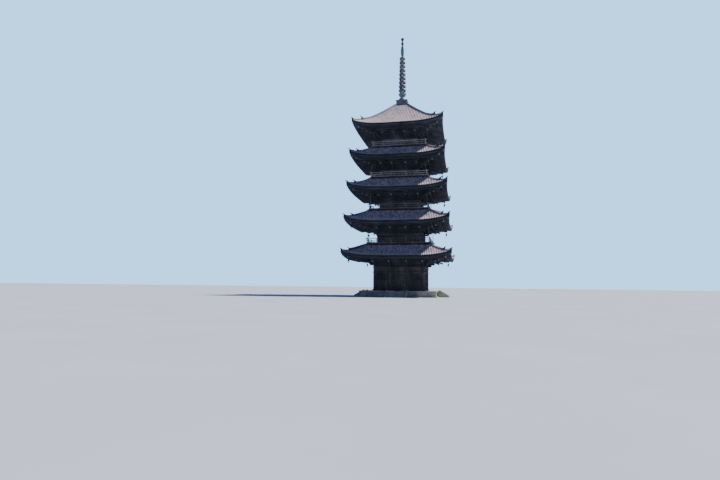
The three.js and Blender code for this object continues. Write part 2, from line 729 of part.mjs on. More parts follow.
function addFinialFoot() {
  const low = TOP_SHELF.height + SEAT;
  const { foot, body, rim, overlap } = FINIAL_BASE;
  const bodyLow = low + foot.height;
  const rimLow = bodyLow + body.height;
  const top = rimLow + rim.height;
  const base = joined([
    square(foot.half, low, bodyLow),
    square(body.half, bodyLow - overlap, rimLow + overlap),
    square(rim.half, rimLow, top),
  ]);
  const bore = PILLAR.neck + SEAT;
  const well = rod(bore, low - CUT_PAST, top + CUT_PAST);
  addPiece("finial_base", base.subtract(solidOf(well)), BRONZE);

  const bowlLow = top + SEAT;
  const inside = [bore, bowlLow];
  const bowl = lathe(
    [
      inside,
      [BOWL_FOOT, bowlLow],
      ...BOWL_AND_CUP,
      [CUP_FLOOR.radius, CUP_FLOOR.height],
      [bore, CUP_FLOOR.height],
      inside,
    ],
    16,
  );
  addPiece("finial_bowl", solidOf(bowl), BRONZE);
}

// Nine hooped wheels on the shaft, each carried by one cross arm.
function addFinialRings() {
  const low = CUP_FLOOR.height + SEAT;
  const shaft = lathe(
    [
      [0, low],
      [SHAFT_FOOT, low],
      ...SHAFT_SLEEVE,
      [SHAFT_RADIUS, SHAFT_NECK],
      [SHAFT_RADIUS, SHAFT_TOP],
      [0, SHAFT_TOP],
    ],
    8,
  );
  const rings = RING_RADII.flatMap((radius, index) => {
    const ringLow = FIRST_RING + index * RING_SPACING - RING.height / 2;
    const ringHigh = ringLow + RING.height;
    const inner = radius - RING.thickness;
    const hoop = lathe(
      [[inner, ringLow], [radius, ringLow], [radius, ringHigh], [inner, ringHigh], [inner, ringLow]],
      12,
    );
    const reach = inner + RING.thickness / 2;
    const { half, inset } = RING_ARM;
    const arm = block([-reach, reach], [-half, half], [ringLow + inset, ringHigh - inset]);
    return [hoop, index % 2 ? arm : arm.rotateZ(Math.PI / 2)];
  });
  addPiece("finial_rings", joined([shaft, ...rings]), BRONZE);
}

// Four upright flame plates on the diagonals round a sleeve on the shaft, then the ball and the jewel.
function addFinialTop() {
  const bore = SHAFT_RADIUS + SEAT;
  const sleeve = lathe(
    [
      [bore, FLAME.low],
      [FLAME.sleeve, FLAME.low],
      [FLAME.sleeve, FLAME.sleeveHigh],
      [bore, FLAME.sleeveHigh],
      [bore, FLAME.low],
    ],
    8,
  );
  const blade = upright(FLAME_BLADE, FLAME.halfThickness).rotateZ(Math.PI / 4);
  const blades = quarterTurns([blade]);
  addPiece("finial_flame", joined([sleeve, ...blades]), BRONZE);

  const ballLow = SHAFT_TOP + SEAT;
  const { radius: ballTopRadius, height: ballTop } = BALL_TOP;
  const ball = lathe([[0, ballLow], [BALL_FOOT, ballLow], ...BALL, [ballTopRadius, ballTop], [0, ballTop]], 12);
  addPiece("finial_ball", solidOf(ball), BRONZE);

  const jewelLow = ballTop + SEAT;
  const jewel = lathe([[0, jewelLow], [JEWEL_FOOT, jewelLow], ...JEWEL], 12);
  addPiece("finial_jewel", solidOf(jewel), BRONZE);
}

addPodium();
addStairs();
for (const storey of STOREYS) {
  addWalls(storey);
  addDoors(storey);
  addBrackets(storey);
  addEaves(storey);
  addRoof(storey);
  addRidges(storey);
}
for (const storey of UPPER_STOREYS) {
  addBalcony(storey);
  addBalustrade(storey);
}
addHeartPillar();
addFinialFoot();
addFinialRings();
addFinialTop();

export default pagoda;
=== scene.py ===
import math
import random
from bisect import bisect

import bmesh
import bpy
from mathutils import Matrix, Vector


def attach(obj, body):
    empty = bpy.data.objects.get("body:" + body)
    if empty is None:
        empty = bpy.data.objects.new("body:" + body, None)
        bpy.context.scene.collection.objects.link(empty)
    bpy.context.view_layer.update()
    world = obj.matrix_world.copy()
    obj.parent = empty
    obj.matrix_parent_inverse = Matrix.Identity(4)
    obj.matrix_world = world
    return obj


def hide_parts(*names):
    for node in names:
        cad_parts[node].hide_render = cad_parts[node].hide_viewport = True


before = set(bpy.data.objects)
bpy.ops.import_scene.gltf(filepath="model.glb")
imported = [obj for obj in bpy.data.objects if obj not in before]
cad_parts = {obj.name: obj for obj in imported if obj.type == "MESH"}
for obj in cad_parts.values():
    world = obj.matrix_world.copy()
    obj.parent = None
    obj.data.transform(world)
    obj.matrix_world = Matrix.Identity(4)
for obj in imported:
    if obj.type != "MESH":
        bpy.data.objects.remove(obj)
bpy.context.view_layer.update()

# A five-storey timber pagoda as a 1:2 scale model. Lengths are metres of the full-size tower, and each
# piece is brought to the model's size when it is set in place. Front is -Y, right is +X.
MODEL = 0.5
GROUND, TOP = 0, 4
STOREYS = (0, 1, 2, 3, 4)
UPPER_STOREYS = (1, 2, 3, 4)
QUARTER = math.pi / 2
DIAGONAL = math.sqrt(2)

# Driving sizes of the five storeys, from the ground up.
COLUMN_LINE = (4.74, 4.175, 3.8, 3.5, 3.22)
CENTRE_BAY = (3.4, 3.0, 2.74, 2.72, 2.15)
COLUMN_RADIUS = (0.28, 0.25, 0.24, 0.23, 0.22)
FLOOR_TOP = (1.2, 10.4, 17.15, 23.6, 29.85)
EAVE_HALF = (10.05, 9.68, 9.31, 8.91, 8.565)
EAVE_TOP = (7.75, 14.32, 20.82, 27.17, 33.5)
BALCONY_HALF = (None, 6.2, 5.85, 5.6, 5.36)
TOP_SHELF = {"half": 1.25, "height": 39.44}

# Three steps of brackets stand on the wall's plate and carry the purlin under the rafters.
PLATE_BELOW_EAVE = 1.9
STEP_OUT = (0.7, 1.35, 2.0)
TAIL_END = {"out": 2.4, "above_plate": 0.8, "depth": 0.3, "slope": 0.4}

# Places in a piece's list of finishes. Timber has its grain along x, y or z in the first three.
GRAIN_X, GRAIN_Y, GRAIN_Z, END_GRAIN, CHALKED = 0, 1, 2, 3, 4
FIRST, SECOND = 0, 1
# The dark clay of the eave edges, ridge ends and crown courses: partly soot, partly painted shade.
IRON = PROP = SOOT_AND_SHADE = 3
# The pale clay, laid on the edge courses as a painted highlight.
EDGE_HIGHLIGHT_CLAY = 1


# Shapes


def sheet(xs, ys, rises=None, laps=None, gaps=False):
    """A sheet of quads with lines at xs and ys, raised by column and by row.

    With gaps, every other strip is left out.
    """
    bm = bmesh.new()
    across, along = len(xs) - 1, len(ys) - 1
    bmesh.ops.create_grid(bm, x_segments=across, y_segments=along, size=1)
    if gaps:
        between = [f for f in bm.faces if int((f.calc_center_median().x + 1) / 2 * across) % 2]
        bmesh.ops.delete(bm, geom=between, context="FACES")
    for vert in bm.verts:
        column = round((vert.co.x + 1) / 2 * across)
        row = round((vert.co.y + 1) / 2 * along)
        vert.co = (xs[column], ys[row], (rises[column] if rises else 0) + (laps[row] if laps else 0))
    return bm


def bars(centres, width, ys):
    """Parallel strips of one width, side by side, with lines at ys."""
    return sheet([centre + side * width / 2 for centre in centres for side in (-1, 1)], ys, gaps=True)


def spread(low, high, pitch):
    """Evenly spaced values from low to high, about a pitch apart."""
    count = max(1, round((high - low) / pitch))
    return [low + (high - low) * i / count for i in range(count + 1)]


def around(middle, half):
    return middle - half, middle + half


def lay(bm, place):
    """Puts every vertex where a function says."""
    for vert in bm.verts:
        vert.co = place(vert.co.copy())
    return bm


def only_verts(parts):
    return [part for part in parts if isinstance(part, bmesh.types.BMVert)]


def thicken(bm, *offset):
    """Draws a sheet out by an offset, with walls all round, into closed bodies."""
    drawn = bmesh.ops.extrude_face_region(bm, geom=bm.faces[:])["geom"]
    bmesh.ops.translate(bm, vec=offset, verts=only_verts(drawn))
    bmesh.ops.recalc_face_normals(bm, faces=bm.faces[:])
    return bm


def mitre(bm, close=True):
    """Cuts the front side's pieces at the two hips."""
    for side in (1, -1):
        bmesh.ops.bisect_plane(bm, geom=bm.verts[:] + bm.edges[:] + bm.faces[:], plane_co=(0, 0, 0),
                               plane_no=(side, 1, 0), clear_outer=True)
    if close:
        bmesh.ops.holes_fill(bm, edges=bm.edges[:], sides=0)
    return bm


def soften(bm, width):
    """Takes the sharpness off every edge."""
    bmesh.ops.bevel(bm, geom=bm.edges[:], offset=width, offset_type="OFFSET", segments=1, profile=0.5,
                    affect="EDGES", clamp_overlap=True, material=-1)
    return bm


def finish(bm, index):
    """Gives every face one of its piece's finishes."""
    for face in bm.faces:
        face.material_index = index
    return bm


def block(x, y, z, bevel=0.0, grain=GRAIN_X):
    """A square-cut piece between two values each way."""
    bm = bmesh.new()
    size = Matrix.Diagonal((x[1] - x[0], y[1] - y[0], z[1] - z[0], 1))
    place = Matrix.Translation([(low + high) / 2 for low, high in (x, y, z)])
    bmesh.ops.create_cube(bm, size=1, matrix=place @ size)
    if bevel:
        soften(bm, bevel)
    return finish(bm, grain)


def plate(outline, thickness):
    """An outline drawn in x and z, with its thickness centred on y = 0."""
    bm = bmesh.new()
    bm.faces.new([bm.verts.new((x, -thickness / 2, z)) for x, z in outline])
    return finish(thicken(bm, 0, thickness, 0), GRAIN_X)


def turned_profile(profile, steps):
    """A profile of radius and height, turned round the axis."""
    bm = bmesh.new()
    points = [bm.verts.new((radius, 0, height)) for radius, height in profile]
    edges = [bm.edges.new(pair) for pair in zip(points, points[1:])]
    bmesh.ops.spin(bm, geom=points + edges, cent=(0, 0, 0), axis=(0, 0, 1), angle=math.tau, steps=steps,
                   use_merge=True, use_duplicate=False)
    bmesh.ops.remove_doubles(bm, verts=bm.verts[:], dist=1e-5)
    bmesh.ops.recalc_face_normals(bm, faces=bm.faces[:])
    return bm


def round_bar(start, end, radius, sides):
    """A round bar between two points."""
    start, end = Vector(start), Vector(end)
    bm = bmesh.new()
    turn = (end - start).to_track_quat("Z", "Y").to_matrix().to_4x4()
    place = Matrix.Translation((start + end) / 2) @ turn
    bmesh.ops.create_cone(bm, cap_ends=True, segments=sides, radius1=radius, radius2=radius,
                          depth=(end - start).length, matrix=place)
    return bm


def rotation(angle, axis="Z"):
    return Matrix.Rotation(angle, 4, axis)


def moved(bm, matrix):
    bmesh.ops.transform(bm, matrix=matrix, verts=bm.verts[:])
    return bm


def shifted(bm, x=0.0, y=0.0, z=0.0):
    return moved(bm, Matrix.Translation((x, y, z)))


def gathered(shapes):
    """One shape from several, which are used up."""
    whole = bmesh.new()
    for shape in shapes:
        mesh = bpy.data.meshes.new("part")
        shape.to_mesh(mesh)
        shape.free()
        whole.from_mesh(mesh)
        bpy.data.meshes.remove(mesh)
    return whole


def copies(bm, matrices):
    """One shape with a copy of bm, which is used up, at each matrix."""
    made = [moved(bm.copy(), matrix) for matrix in matrices]
    bm.free()
    return gathered(made)


def quarter_turns(bm, has_grain=True):
    """Repeats the front side's pieces on the other three. Grain along x turns into grain along y."""
    swap = {GRAIN_X: GRAIN_Y, GRAIN_Y: GRAIN_X} if has_grain else {}
    side = bm.verts[:] + bm.edges[:] + bm.faces[:]
    for turn in (1, 2, 3):
        copied = bmesh.ops.duplicate(bm, geom=side)["geom"]
        bmesh.ops.rotate(bm, cent=(0, 0, 0), matrix=Matrix.Rotation(turn * QUARTER, 3, "Z"),
                         verts=only_verts(copied))
        if turn % 2:
            for part in copied:
                if isinstance(part, bmesh.types.BMFace):
                    part.material_index = swap.get(part.material_index, part.material_index)
    return bm


def set_piece(bm, name, slot, finishes, *replaced, smooth_angle=35):
    """Brings a finished shape to the model's size and makes it a piece of the tower."""
    bmesh.ops.scale(bm, vec=(MODEL, MODEL, MODEL), verts=bm.verts[:])
    mesh = bpy.data.meshes.new(name)
    bm.to_mesh(mesh)
    bm.free()
    mesh.shade_smooth()
    mesh.set_sharp_from_angle(angle=math.radians(smooth_angle))
    for made in finishes:
        mesh.materials.append(made)
    piece = bpy.data.objects.new(name, mesh)
    bpy.context.scene.collection.objects.link(piece)
    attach(piece, "root")
    if replaced:
        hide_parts(*replaced)


def set_sides(storey, parts, name, slot, finishes, node):
    """Repeats a storey's front pieces on its other sides and sets them in place of a node."""
    whole = quarter_turns(gathered(parts))
    set_piece(whole, f"storey_{storey + 1}_{name}", slot, finishes, f"storey_{storey + 1}_{node}")


# Finishes


def linear(hex_colour):
    """An sRGB hex colour as the linear values a shader takes."""
    channels = [int(hex_colour[i:i + 2], 16) / 255 for i in (1, 3, 5)]
    return [c / 12.92 if c <= 0.04045 else ((c + 0.055) / 1.055) ** 2.4 for c in channels] + [1.0]


def per(millimetres):
    """Pattern scale for a feature of this size on the full-size tower."""
    return 1000 / (millimetres * MODEL)


def fill(tree, node, inputs):
    """Links a node's inputs, or sets their values."""
    for socket, value in inputs.items():
        if isinstance(value, bpy.types.NodeSocket):
            tree.links.new(value, node.inputs[socket])
        else:
            node.inputs[socket].default_value = value


def add(tree, kind, inputs, stops=(), **settings):
    """Adds one shader node with its settings, values and links, and the stops of a colour ramp."""
    made = tree.nodes.new(f"ShaderNode{kind}")
    for setting, value in settings.items():
        setattr(made, setting, value)
    fill(tree, made, inputs)
    for _ in stops[2:]:
        made.color_ramp.elements.new(0.5)
    for index, (position, colour) in enumerate(stops):
        made.color_ramp.elements[index].position = position
        made.color_ramp.elements[index].color = linear(colour)
    return made


def blank(name):
    """An empty material with its node tree, its shader and object coordinates."""
    material = bpy.data.materials.new(name)
    material.use_nodes = True
    tree = material.node_tree
    place = add(tree, "TexCoord", {}).outputs["Object"]
    return material, tree, tree.nodes["Principled BSDF"], place


def weathered_cypress(name, grain, dark, middle, bleached):
    """Old cypress left bare for centuries: nearly black brown, bleached in streaks along the grain."""
    material, tree, shader, place = blank(name)
    along = [1.0, 1.0, 1.0]
    along[grain] = 0.06
    stretched = add(tree, "Mapping", {"Vector": place, "Scale": along}).outputs["Vector"]
    # Grain lines of 25 mm, streaks about a board wide, and weathering in patches of 1.8 m.
    fine = add(tree, "TexNoise", {"Vector": stretched, "Scale": per(25), "Detail": 4.0})
    broad = add(tree, "TexNoise", {"Vector": stretched, "Scale": per(260), "Detail": 3.0})
    patch = add(tree, "TexNoise", {"Vector": place, "Scale": per(1800), "Detail": 2.0})
    mixed = add(tree, "Math", {0: fine.outputs["Fac"], 1: broad.outputs["Fac"]}, operation="ADD")
    total = add(tree, "Math", {0: mixed.outputs[0], 1: patch.outputs["Fac"]}, operation="ADD")
    share = add(tree, "MapRange", {"Value": total.outputs[0], "From Min": 1.1, "From Max": 1.95})
    colour = add(tree, "ValToRGB", {"Fac": share.outputs["Result"]},
                 stops=[(0.0, dark), (0.55, middle), (1.0, bleached)])
    rough = add(tree, "MapRange", {"Value": fine.outputs["Fac"], "To Min": 0.7, "To Max": 0.95})
    bump = add(tree, "Bump", {"Height": fine.outputs["Fac"], "Strength": 0.35, "Distance": 0.004})
    fill(tree, shader, {"Base Color": colour.outputs["Color"], "Roughness": rough.outputs["Result"],
                        "IOR": 1.5, "Specular IOR Level": 0.3, "Normal": bump.outputs["Normal"]})
    return material


def chalked_end_grain(name, bare, dusty, white):
    """Ends brushed with lime white long ago: what is left of it over the bare end grain."""
    material, tree, shader, place = blank(name)
    # Flaked patches of about 120 mm.
    flakes = add(tree, "TexNoise", {"Vector": place, "Scale": per(120), "Detail": 5.0})
    colour = add(tree, "ValToRGB", {"Fac": flakes.outputs["Fac"]},
                 stops=[(0.32, bare), (0.5, dusty), (0.68, white)])
    bump = add(tree, "Bump", {"Height": flakes.outputs["Fac"], "Strength": 0.4, "Distance": 0.003})
    fill(tree, shader, {"Base Color": colour.outputs["Color"], "Roughness": 0.9, "IOR": 1.5,
                        "Normal": bump.outputs["Normal"]})
    return material


def smoked_clay(name, deep, middle, pale, gloss=0.5):
    """Smoked clay tile: a carbon skin between slate and silver grey, worn and stained by rain."""
    material, tree, shader, place = blank(name)
    # Mottling of 40 and 150 mm within a tile, and stains of 1.5 m over many.
    fine = add(tree, "TexNoise", {"Vector": place, "Scale": per(40), "Detail": 4.0})
    mottle = add(tree, "TexNoise", {"Vector": place, "Scale": per(150), "Detail": 3.0})
    stain = add(tree, "TexNoise", {"Vector": place, "Scale": per(1500), "Detail": 4.0})
    mixed = add(tree, "Math", {0: fine.outputs["Fac"], 1: mottle.outputs["Fac"]}, operation="ADD")
    total = add(tree, "Math", {0: mixed.outputs[0], 1: stain.outputs["Fac"]}, operation="ADD")
    share = add(tree, "MapRange", {"Value": total.outputs[0], "From Min": 1.0, "From Max": 2.0})
    colour = add(tree, "ValToRGB", {"Fac": share.outputs["Result"]},
                 stops=[(0.0, deep), (0.5, middle), (1.0, pale)])
    # Tiles fired warmer and cooler: patches of 400 mm, coarser than a tile so that they show from afar.
    firing = add(tree, "TexNoise", {"Vector": place, "Scale": per(400), "Detail": 1.0})
    warmth = add(tree, "ValToRGB", {"Fac": firing.outputs["Fac"]},
                 stops=[(0.34, "#dceaff"), (0.5, "#f9fbff"), (0.66, "#fff1e6")])
    toned = add(tree, "Mix", {0: 1.0, 6: colour.outputs["Color"], 7: warmth.outputs["Color"]},
                data_type="RGBA", blend_type="MULTIPLY")
    rough = add(tree, "MapRange", {"Value": fine.outputs["Fac"], "To Min": 0.42, "To Max": 0.7})
    bump = add(tree, "Bump", {"Height": fine.outputs["Fac"], "Strength": 0.25, "Distance": 0.003})
    fill(tree, shader, {"Base Color": toned.outputs[2], "Roughness": rough.outputs["Result"], "IOR": 1.55,
                        "Specular IOR Level": gloss, "Normal": bump.outputs["Normal"]})
    return material


def dressed_granite():
    """Dressed granite: pale grey with dark mica, drawn at 30 mm so that it shows, and rain stains."""
    material, tree, shader, place = blank("dressed_granite")
    speck = add(tree, "TexVoronoi", {"Vector": place, "Scale": per(30)})
    tone = add(tree, "SeparateColor", {"Color": speck.outputs["Color"]})
    stain = add(tree, "TexNoise", {"Vector": place, "Scale": per(900), "Detail": 5.0})
    tinted = add(tree, "Math", {0: tone.outputs["Green"], 1: 0.35}, operation="MULTIPLY")
    total = add(tree, "Math", {0: tinted.outputs[0], 1: stain.outputs["Fac"]}, operation="ADD")
    share = add(tree, "MapRange", {"Value": total.outputs[0], "From Min": 0.4, "From Max": 0.95})
    colour = add(tree, "ValToRGB", {"Fac": share.outputs["Result"]},
                 stops=[(0.0, "#6f6a61"), (0.5, "#948e83"), (1.0, "#b4aea2")])
    bump = add(tree, "Bump", {"Height": speck.outputs["Distance"], "Strength": 0.3, "Distance": 0.003})
    fill(tree, shader, {"Base Color": colour.outputs["Color"], "Roughness": 0.85, "IOR": 1.54,
                        "Normal": bump.outputs["Normal"]})
    return material


def aged_bronze(name, body, patina, threshold, shine=0.6):
    """Cast bronze in the open: dark oxide skin, green carbonate where rain stands, warm where it wears."""
    material, tree, shader, place = blank(name)
    # Patina in clouds of 350 mm, with casting grain drawn at 35 mm so that it shows.
    cloud = add(tree, "TexNoise", {"Vector": place, "Scale": per(350), "Detail": 6.0})
    fine = add(tree, "TexNoise", {"Vector": place, "Scale": per(35), "Detail": 3.0})
    total = add(tree, "Math", {0: cloud.outputs["Fac"], 1: fine.outputs["Fac"]}, operation="ADD")
    share = add(tree, "MapRange",
                {"Value": total.outputs[0], "From Min": threshold, "From Max": threshold + 0.3})
    green = share.outputs["Result"]
    colour = add(tree, "ValToRGB", {"Fac": green}, stops=[(0.0, body), (1.0, patina)])
    metal = add(tree, "MapRange", {"Value": green, "To Min": shine, "To Max": 0.1})
    rough = add(tree, "MapRange", {"Value": green, "To Min": 0.78 - 0.6 * shine, "To Max": 0.8})
    bump = add(tree, "Bump", {"Height": fine.outputs["Fac"], "Strength": 0.3, "Distance": 0.003})
    fill(tree, shader, {"Base Color": colour.outputs["Color"], "Metallic": metal.outputs["Result"],
                        "Roughness": rough.outputs["Result"], "Normal": bump.outputs["Normal"]})
    return material


def cypress_each_way(name, dark, middle, bleached):
    """The same timber with its grain along each of the three directions."""
    return [weathered_cypress(f"{name}_{'xyz'[axis]}", axis, dark, middle, bleached) for axis in range(3)]


# The same cypress in lit and shaded copies: lighter on the top storey, as painted light, and darker on the
# lower ones, as painted shade.
bleached_and_lit_timber = cypress_each_way("bleached_and_lit_cypress", "#25282f", "#3f4550", "#646a75")
shaded_timber = cypress_each_way("shaded_cypress", "#1e2026", "#333842", "#525660")
end_grain = chalked_end_grain("worn_chalk_on_end_grain", "#222226", "#37373c", "#535358")
chalk = chalked_end_grain("chalked_tail_end", "#4c4a47", "#7a7773", "#a09d98")
timber = [[*wood, end_grain, chalk] for wood in (*[shaded_timber] * 4, bleached_and_lit_timber)]
# Boards in three copies: lightest on the top storey, as painted light, middling on the third and fourth, and
# darkest on the first two, as painted shade.
bleached_and_lit_boards = cypress_each_way("bleached_and_lit_cypress_boards", "#504d54", "#7e7a80", "#afaaac")
weathered_boards = cypress_each_way("weathered_cypress_boards", "#38353a", "#5b575a", "#827d7e")
shaded_boards = cypress_each_way("shaded_cypress_boards", "#2f2d30", "#4d494b", "#6e6a6a")
boards = (*[shaded_boards] * 2, *[weathered_boards] * 2, bleached_and_lit_boards)
decking = cypress_each_way("russet_cypress_decking", "#3b302f", "#5f4e4b", "#837069")
# Rails: silvered cypress, painted lighter than the walls for the light they catch, and darker on the two
# lower balconies as painted shade.
silvered_and_lit_rail_wood = cypress_each_way("silvered_and_lit_cypress_rail", "#75706f", "#a39b9a", "#c4bbb9")
greyed_and_shaded_rail_wood = cypress_each_way("greyed_and_shaded_cypress_rail", "#4c494c", "#716d70", "#928d8f")
rails = (None, greyed_and_shaded_rail_wood, greyed_and_shaded_rail_wood, silvered_and_lit_rail_wood, silvered_and_lit_rail_wood)
roof_clays = [
    smoked_clay("smoked_clay_tile", "#666069", "#867e87", "#a59b9f"),
    smoked_clay("smoked_clay_tile_pale", "#908283", "#b5a3a3", "#d1bebb"),
    smoked_clay("smoked_clay_tile_deep", "#525058", "#6d6870", "#888085"),
]
# How often each of the three clays comes in a storey's tiles. The top roof takes the pale clay most, so that
# it reads brighter than the lower roofs.
FIRINGS = (*[(0, 0, 0, 1, 1, 2)] * 4, (0, 1, 1, 1, 1, 1))
ridge_clay = smoked_clay("smoked_clay_ridge_tile", "#5c565d", "#7a7378", "#989091")
# Dark clay for the eave edges, ridge ends and crown courses: partly soot, partly painted shade.
soot_and_shade_clay = smoked_clay("soot_and_shade_clay_edge_tile", "#101115", "#1b1c21", "#2c2d33", gloss=0.2)
granite = dressed_granite()
ring_bronze = aged_bronze("cast_bronze_worn_bare", "#7a7b7f", "#4a5866", 1.02, shine=0.75)
# The shaft is painted pale, a painted highlight for the sun on the shaft between the rings.
lit_shaft_bronze = aged_bronze("cast_bronze_shaft_painted_light", "#b9b5b0", "#959da3", 1.05, shine=0.3)
basin_bronze = aged_bronze("cast_bronze_rain_patina", "#656d70", "#71898d", 0.9)
green_bronze = aged_bronze("cast_bronze_deep_patina", "#1d3145", "#2c4a5c", 0.95, shine=0.2)
flame_bronze = aged_bronze("cast_bronze_green_patina", "#54757a", "#68918f", 0.95, shine=0.2)
bell_bronze = aged_bronze("cast_bronze_bell", "#2e302d", "#435049", 1.1)
# Forged iron in the open: black, with rust where rain stands.
black_iron = aged_bronze("forged_iron_black", "#26262a", "#3a2f2a", 1.15)


# The eaves' curves

# Corners sweep up and out, and the tiled slope is hollow.
CORNER_LIFT = 0.9
CORNER_FLARE = 0.25
SWEEP_START = 0.1
ROOF_HOLLOW = (0.3, 0.3, 0.3, 0.3, 0.25)
ROOF_SHELF = 0.2
SHELF_BELOW_FLOOR = 0.44
# Rafters in two tiers.
FLYING = {"length": 1.5, "slope": 0.2, "underside": 0.64, "depth": 0.14}
BASE = {"inset": 1.28, "slope": 0.36, "underside": 0.69, "depth": 0.17}


def sweep(storey, along, half):
    """Share of the corner's lift and flare: 0 at the purlin, 1 at the tip."""
    start = COLUMN_LINE[storey] + STEP_OUT[2] + SWEEP_START
    run = max(0.0, (half - start) / (EAVE_HALF[storey] - start))
    return along ** 4 * run ** 1.5


def on_eaves(storey, x, half, height):
    """A point of the front eaves, x across and half out from the axis."""
    out = half
    for _ in range(3):
        share = sweep(storey, min(1.1, abs(x) / out), half)
        out = half + CORNER_FLARE * share
    return Vector((x, -out, height + CORNER_LIFT * share))


def on_hip(storey, half, height, aside=0.0):
    """A point over the front right hip, aside from its middle."""
    share = sweep(storey, 1.0, half)
    out = half + CORNER_FLARE * share
    off = aside / DIAGONAL
    return Vector((out + off, -out + off, height + CORNER_LIFT * share))


def roof_head(storey):
    """Where the tiles end at the top: how far out from the axis, and the height of the shelf there."""
    if storey == TOP:
        return TOP_SHELF["half"], TOP_SHELF["height"]
    return BALCONY_HALF[storey + 1], FLOOR_TOP[storey + 1] - SHELF_BELOW_FLOOR


def tile_bed(storey, half):
    """Height of the tiled slope at the middle of a side."""
    head_half, head_height = roof_head(storey)
    start = head_half + ROOF_SHELF
    run = (half - start) / (EAVE_HALF[storey] - start)
    fall = head_height - EAVE_TOP[storey]
    return head_height - fall * ((1 + ROOF_HOLLOW[storey]) * run - ROOF_HOLLOW[storey] * run * run)


def flying_underside(storey, half):
    return EAVE_TOP[storey] - FLYING["underside"] + FLYING["slope"] * (EAVE_HALF[storey] - half)


def base_underside(storey, half):
    return EAVE_TOP[storey] - BASE["underside"] + BASE["slope"] * (EAVE_HALF[storey] - BASE["inset"] - half)


def plate_top(storey):
    return EAVE_TOP[storey] - PLATE_BELOW_EAVE


# Roofs

ROW_PITCH = 0.31
COVER_RADIUS = 0.09
# Across and up on a half-round cover tile, as shares of its radius.
COVER_TILE = ((-1.0, 0.0), (-0.7, 0.7), (0.0, 1.0), (0.7, 0.7), (1.0, 0.0))
COURSE = 0.4
TILE_LAP = 0.035
LAP_RUN = 0.012
PAN_DROP = 0.045
PAN_HOLLOW = 0.03
SKIN_EDGE = 0.03
TILE_EDGE = 0.28
LIP = {"back": 0.42, "front": 0.02, "below_top": 0.1}
# Strips of quads across a row: the first four are the cover tile, the other two the pan tile.
STRIPS, COVER_STRIPS = 6, 4


def row_centres(storey):
    """Rows of cover tiles stand either side of the middle, out to the corner."""
    reach = EAVE_HALF[storey] + CORNER_FLARE
    count = int(reach / ROW_PITCH - 0.5)
    return [(i + 0.5) * ROW_PITCH for i in range(-count - 1, count + 1)]


def lapped(start, end, length, lap):
    """Lines down a slope of lapped tiles: each tile is proud by the lap at its lower end."""
    tiles = spread(start, end, length)
    lines = [line for upper, lower in zip(tiles, tiles[1:]) for line in (upper, lower - LAP_RUN)]
    return lines, [lap * (index % 2) for index in range(len(lines))]


def fire_tiles(bm, storey, xs, halves):
    """Draws a clay for each tile. The two edge courses take the pale clay, as a painted highlight."""
    dice = random.Random(storey)
    firings = {}
    last_course = (len(halves) - 2) // 2
    for face in bm.faces:
        middle = face.calc_center_median()
        strip = bisect(xs, middle.x) - 1
        course = (bisect(halves, middle.y) - 1) // 2
        tile = (strip // STRIPS, strip % STRIPS >= COVER_STRIPS, course)
        firing = firings.setdefault(tile, dice.choice(FIRINGS[storey]))
        # Painted highlight: the last two courses along the edge take the pale clay.
        face.material_index = EDGE_HIGHLIGHT_CLAY if course >= last_course - 1 else firing


def tile_skin(storey):
    """Rows of half-round cover tiles over hollow pan tiles, lapped course on course, each fired apart."""
    xs, rises = [], []
    for centre in row_centres(storey):
        xs += [centre + share * COVER_RADIUS for share, _ in COVER_TILE] + [centre + ROW_PITCH / 2]
        rises += [rise * COVER_RADIUS - PAN_DROP for _, rise in COVER_TILE] + [-PAN_DROP - PAN_HOLLOW]
    halves, laps = lapped(roof_head(storey)[0] + 0.05, EAVE_HALF[storey], COURSE, TILE_LAP)
    bm = sheet(xs, halves, rises, laps)
    fire_tiles(bm, storey, xs, halves)
    lay(bm, lambda co: on_eaves(storey, co.x, co.y, tile_bed(storey, co.y) + co.z))
    quarter_turns(mitre(bm, close=False), has_grain=False)
    bmesh.ops.remove_doubles(bm, verts=bm.verts[:], dist=2e-4)
    bmesh.ops.recalc_face_normals(bm, faces=bm.faces[:])
    if sum(face.normal.z for face in bm.faces) < 0:
        bmesh.ops.reverse_faces(bm, faces=bm.faces[:])
    rim = [edge for edge in bm.edges if edge.is_boundary]
    drawn = bmesh.ops.extrude_edge_only(bm, edges=rim)["geom"]
    bmesh.ops.translate(bm, vec=(0, 0, -SKIN_EDGE), verts=only_verts(drawn))
    return bm


def eave_end_tiles(storey):
    """A round end tile under each cover row, with its raised rim and boss."""
    disc = turned_profile([(0.0, 0.045), (0.06, 0.025), (0.078, 0.05), (0.1, 0.045), (0.104, 0.0)], 10)
    moved(disc, rotation(QUARTER, "X"))
    edge = EAVE_HALF[storey]
    places = []
    for x in row_centres(storey):
        if abs(x) < edge + 0.1:
            spot = on_eaves(storey, x, edge, tile_bed(storey, edge) - 0.03)
            places.append(Matrix.Translation(spot + Vector((0, 0.005, 0))))
    return copies(disc, places)


def eave_lip(storey):
    """The turned-down front of the pan tiles along the edge, and their bed."""
    edge = EAVE_HALF[storey]
    lip = sheet(spread(-edge - 0.3, edge + 0.3, 0.45), [edge - LIP["back"], edge - LIP["front"]])
    lay(lip, lambda co: on_eaves(storey, co.x, co.y, EAVE_TOP[storey] - LIP["below_top"]))
    return mitre(thicken(lip, 0, 0, LIP["below_top"] - TILE_EDGE))


def roof_tiles(storey):
    # The eave's end tiles and lip take the dark clay: partly soot, partly painted shade.
    trim = finish(gathered([eave_end_tiles(storey), eave_lip(storey)]), SOOT_AND_SHADE)
    whole = gathered([tile_skin(storey), quarter_turns(trim)])
    set_piece(whole, f"storey_{storey + 1}_roof_tiles", "roof_tile", [*roof_clays, soot_and_shade_clay],
              f"storey_{storey + 1}_roof", smooth_angle=50)


# Hip ridges

